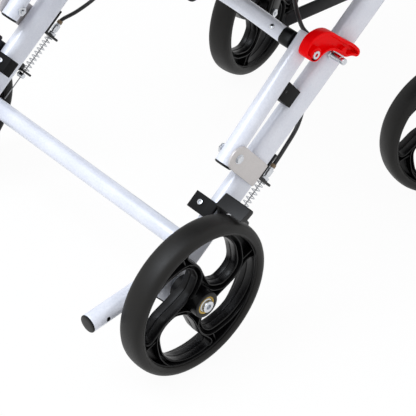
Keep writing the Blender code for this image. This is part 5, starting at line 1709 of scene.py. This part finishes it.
def stitches(local, lines, place, step=0.0058, length=0.0040, radius=0.00045):
    """Short threads on each line, lying on the cover's top: local is (across, along, thick)."""
    flat = local[:, :2]
    skins = []
    for axis, value, first, last in lines:
        for start in np.arange(first, last - length, step):
            ends = []
            for t in (0.0, 0.5, 1.0):
                spot = np.array([value, value])
                spot[1 - axis] = start + t * length
                near = np.argsort(np.sum((flat - spot) ** 2, axis=1))[:6]
                ends.append((*spot, float(local[near, 2].max()) + 0.0001 + 0.0003 * (t == 0.5)))
            line = np.array([place(*end) for end in ends])
            guide = place(*ends[0][:2], ends[0][2] + 1.0) - place(*ends[0])
            skins.append(bar(line, circle(radius, 6), guide, 0.0002))
    return skins


# %% Whole covers
COVER_INSET, COVER_EDGE, VOXEL = 0.004, 0.013, 0.0055
TAPE = (0.0022, 0.0040)
TAPE_UP = 0.0068


def add_cover(label, body, node, place, size, crown, thick, lines, depth):
    """A cover in the place of its solid. size is (half its width, low, high), lines are sewn
    depth deep, and place(across, along, thick) puts it in the chair."""
    half, low, high = size
    form = pillow(place, half - COVER_INSET, low + COVER_INSET, high - COVER_INSET,
                  COVER_EDGE, crown)
    points, faces = blown_up(f"{label}_form", form, VOXEL, crown)
    origin = place(0, 0, 0)
    local = np.stack([(points - origin) @ (place(*step) - origin) for step in np.eye(3)], -1)
    filled_out(local, half - 0.0010, low + 0.0010, high - 0.0010)
    local[:, 2] = np.clip(local[:, 2], 0.0, thick)
    top = local[:, 2] > 0.4 * thick
    local[:, 2] -= np.where(top, channels(local, lines, depth, 0.0075), 0.0)
    cover = piece(f"{label}_cover", [outward(place(*local.T), faces)], CLOTH, body, [node],
                  smooth=80)
    smooth = cover.modifiers.new("subdivision", "SUBSURF")
    smooth.levels = smooth.render_levels = 1
    piece(f"{label}_stitching", stitches(local[top], lines, place), THREAD, body)
    piece(f"{label}_binding", [binding(place, half, low, high)], PIPING, body)


def binding(place, half, low, high):
    """Tape sewn round the rim: a flat oval carried round a rectangle with round corners."""
    middle = (low + high) / 2
    loop = box_outline(half - TAPE[0], (high - low) / 2 - TAPE[0], 0.014, 12)
    path = np.array([place(a, middle + b, TAPE_UP) for a, b in resampled(loop, 220)])
    along = np.roll(path, -1, 0) - np.roll(path, 1, 0)
    along /= np.linalg.norm(along, axis=1, keepdims=True)
    up = place(0.0, middle, 1.0) - place(0.0, middle, 0.0)
    out = np.cross(along, up)
    oval = circle(1.0, 14) * np.array(TAPE)
    return skin(path[:, None] + oval[None, :, :1] * out[:, None] + oval[None, :, 1:] * up,
                loop=True)


# %% [markdown]
# The seat cover rests on the two rails. Its rim is bound with tape, and sewn lines divide the
# padding into panels.

# %% Seat
SEAT_BASE = RAIL_Z + TUBE_R + 0.0003
SEAT_HALF, SEAT_LOW, SEAT_HIGH = 0.197, 0.024, LEG_HEAD_FWD - 0.013
SEAT_PANEL = 0.150


def seat_place(across, along, thick):
    return at(1, across, along, SEAT_BASE + thick)


def add_seat():
    lines = [(0, across, SEAT_LOW + 0.030, SEAT_HIGH - 0.030)
             for across in (-SEAT_PANEL, SEAT_PANEL)]
    lines += [(1, SEAT_LOW + share * (SEAT_HIGH - SEAT_LOW), -SEAT_PANEL, SEAT_PANEL)
              for share in (0.073, 0.36, 0.64, 0.927)]
    add_cover("seat", "front_frame", "seat_cushion", seat_place,
              (SEAT_HALF, SEAT_LOW, SEAT_HIGH), 0.006, 0.0250, lines, 0.0042)


add_seat()

# %% [markdown]
# The back is sewn in the same way, with two channels across it, and hangs between the posts.

# %% Backrest
BACK_HALF, BACK_LOW, BACK_HIGH = LEG_OUT + 0.024 - POST_R - 0.0003, 0.130, POST_LEN - 0.015
BACK_PANEL = BACK_HALF - 0.026


def back_place(across, along, thick):
    return at(1, across, *post_place(along, -0.007 + thick))


def add_backrest():
    lines = [(1, BACK_LOW + share * (BACK_HIGH - BACK_LOW), -BACK_PANEL, BACK_PANEL)
             for share in (1 / 3, 2 / 3)]
    lines += [(0, across, BACK_LOW + 0.020, BACK_HIGH - 0.020)
              for across in (-BACK_PANEL, BACK_PANEL)]
    add_cover("back", "back_frame", "backrest", back_place,
              (BACK_HALF, BACK_LOW, BACK_HIGH), 0.005, 0.0225, lines, 0.0040)


add_backrest()

# %% [markdown]
# The arm pads are polyurethane foam moulded with its own skin. They are crowned along and
# across, and their undersides are flat where they rest on the bars.

# %% Arm pads
PAD_W, PAD_H = 0.037, 0.020
PAD_ALONG = (-0.008, 0.272)
PAD_BASE = ARM_REAR[1] + ARM_HALF + 0.0003


def add_arm_pads():
    first, last = PAD_ALONG
    turn = np.linspace(0, math.tau, 64, endpoint=False)[None, :]
    t = np.linspace(-1, 1, 61)[:, None]
    end = (1 - np.abs(t) ** 14) ** 0.5 * 0.93 + 0.07
    wide = PAD_W / 2 * np.sign(np.cos(turn)) * np.abs(np.cos(turn)) ** 0.45 * end
    tall = np.sign(np.sin(turn)) * np.abs(np.sin(turn)) ** 0.55
    crown = 0.94 + 0.06 * (1 - t**2)
    high = PAD_H / 2 * (1 + tall * np.where(tall > 0, end * crown, 0.5 + 0.5 * end))
    for name, side in SIDES.items():
        fwd = (first + last) / 2 + t * (last - first) / 2 + 0 * turn
        grid = at(side, BAR_OUT + PAD_W / 2 + wide, fwd, PAD_BASE + high)
        pad = piece(f"arm_pad_foam_{name}", [skin(grid)], PAD_FOAM, f"armrest_{name}",
                    [f"armrest_pad_{name}"], smooth=60)


add_arm_pads()

# %% [markdown]
# ## Studio
# The floor is white and plain. Seen by the camera it is mostly as bright as the background,
# so that the picture ends in white, and the rest of it is still lit, which keeps the
# chair's soft shadow. The object itself is lit by a pale world and one large soft lamp.

# %% Floor, world and lamp
FLOOR_REACH, FLOOR_TINT, FLOOR_GLOW = 6.0, "#f4f4f4", 0.95
ROOM_TINT, ROOM_STRENGTH = "#faf8f6", 0.77
LAMP_WIDE, LAMP_TINT, LAMP_WATTS = 1.6, (0.86, 0.92, 1.0), 60.0
LAMP_AT, LAMP_AIM = Vector((0.3, 1.7, 2.6)), Vector((-0.15, 0.25, 0.2))


def seen_directly(tree):
    """1 for rays from the camera, from a mirror or through glass."""
    path = add(tree, "LightPath")
    first = add(tree, "Math", {0: path.outputs["Is Camera Ray"], 1: path.outputs["Is Glossy Ray"]},
                operation="MAXIMUM")
    return add(tree, "Math", {0: first.outputs[0], 1: path.outputs["Is Transmission Ray"]},
               operation="MAXIMUM").outputs[0]


def add_floor():
    size = FLOOR_REACH
    mesh = bpy.data.meshes.new("studio_floor")
    mesh.from_pydata([(-size, -size, 0), (size, -size, 0), (size, size, 0), (-size, size, 0)],
                     [], [(0, 1, 2, 3)])
    floor = in_scene("studio_floor", mesh)
    material = bpy.data.materials.new("white_studio_floor")
    tree = empty_tree(material)
    matt = add(tree, "BsdfDiffuse", {"Color": colour(FLOOR_TINT)})
    glow = add(tree, "Emission", {"Color": (1, 1, 1, 1), "Strength": 1.0})
    share = add(tree, "Math", {0: seen_directly(tree), 1: FLOOR_GLOW}, operation="MULTIPLY")
    mixed = add(tree, "MixShader", {0: share.outputs[0], 1: matt.outputs[0], 2: glow.outputs[0]})
    add(tree, "OutputMaterial", {"Surface": mixed.outputs[0]})
    mesh.materials.append(material)


def add_light():
    world = bpy.data.worlds.new("pale_room")
    tree = empty_tree(world)
    room = add(tree, "Background", {"Color": colour(ROOM_TINT), "Strength": ROOM_STRENGTH})
    seen = add(tree, "Background", {"Color": (1, 1, 1, 1), "Strength": 1.0})
    mixed = add(tree, "MixShader", {0: seen_directly(tree), 1: room.outputs[0], 2: seen.outputs[0]})
    add(tree, "OutputWorld", {"Surface": mixed.outputs[0]})
    bpy.context.scene.world = world
    lamp = bpy.data.lights.new("soft_key", "AREA")
    lamp.shape = "DISK"
    lamp.size = LAMP_WIDE
    lamp.color = LAMP_TINT
    lamp.energy = LAMP_WATTS
    key = in_scene("soft_key", lamp)
    turn = (LAMP_AT - LAMP_AIM).to_track_quat("Z", "Y").to_matrix().to_4x4()
    turn.translation = LAMP_AT
    key.matrix_world = turn


add_floor()
add_light()
bpy.context.scene.view_settings.view_transform = "Standard"
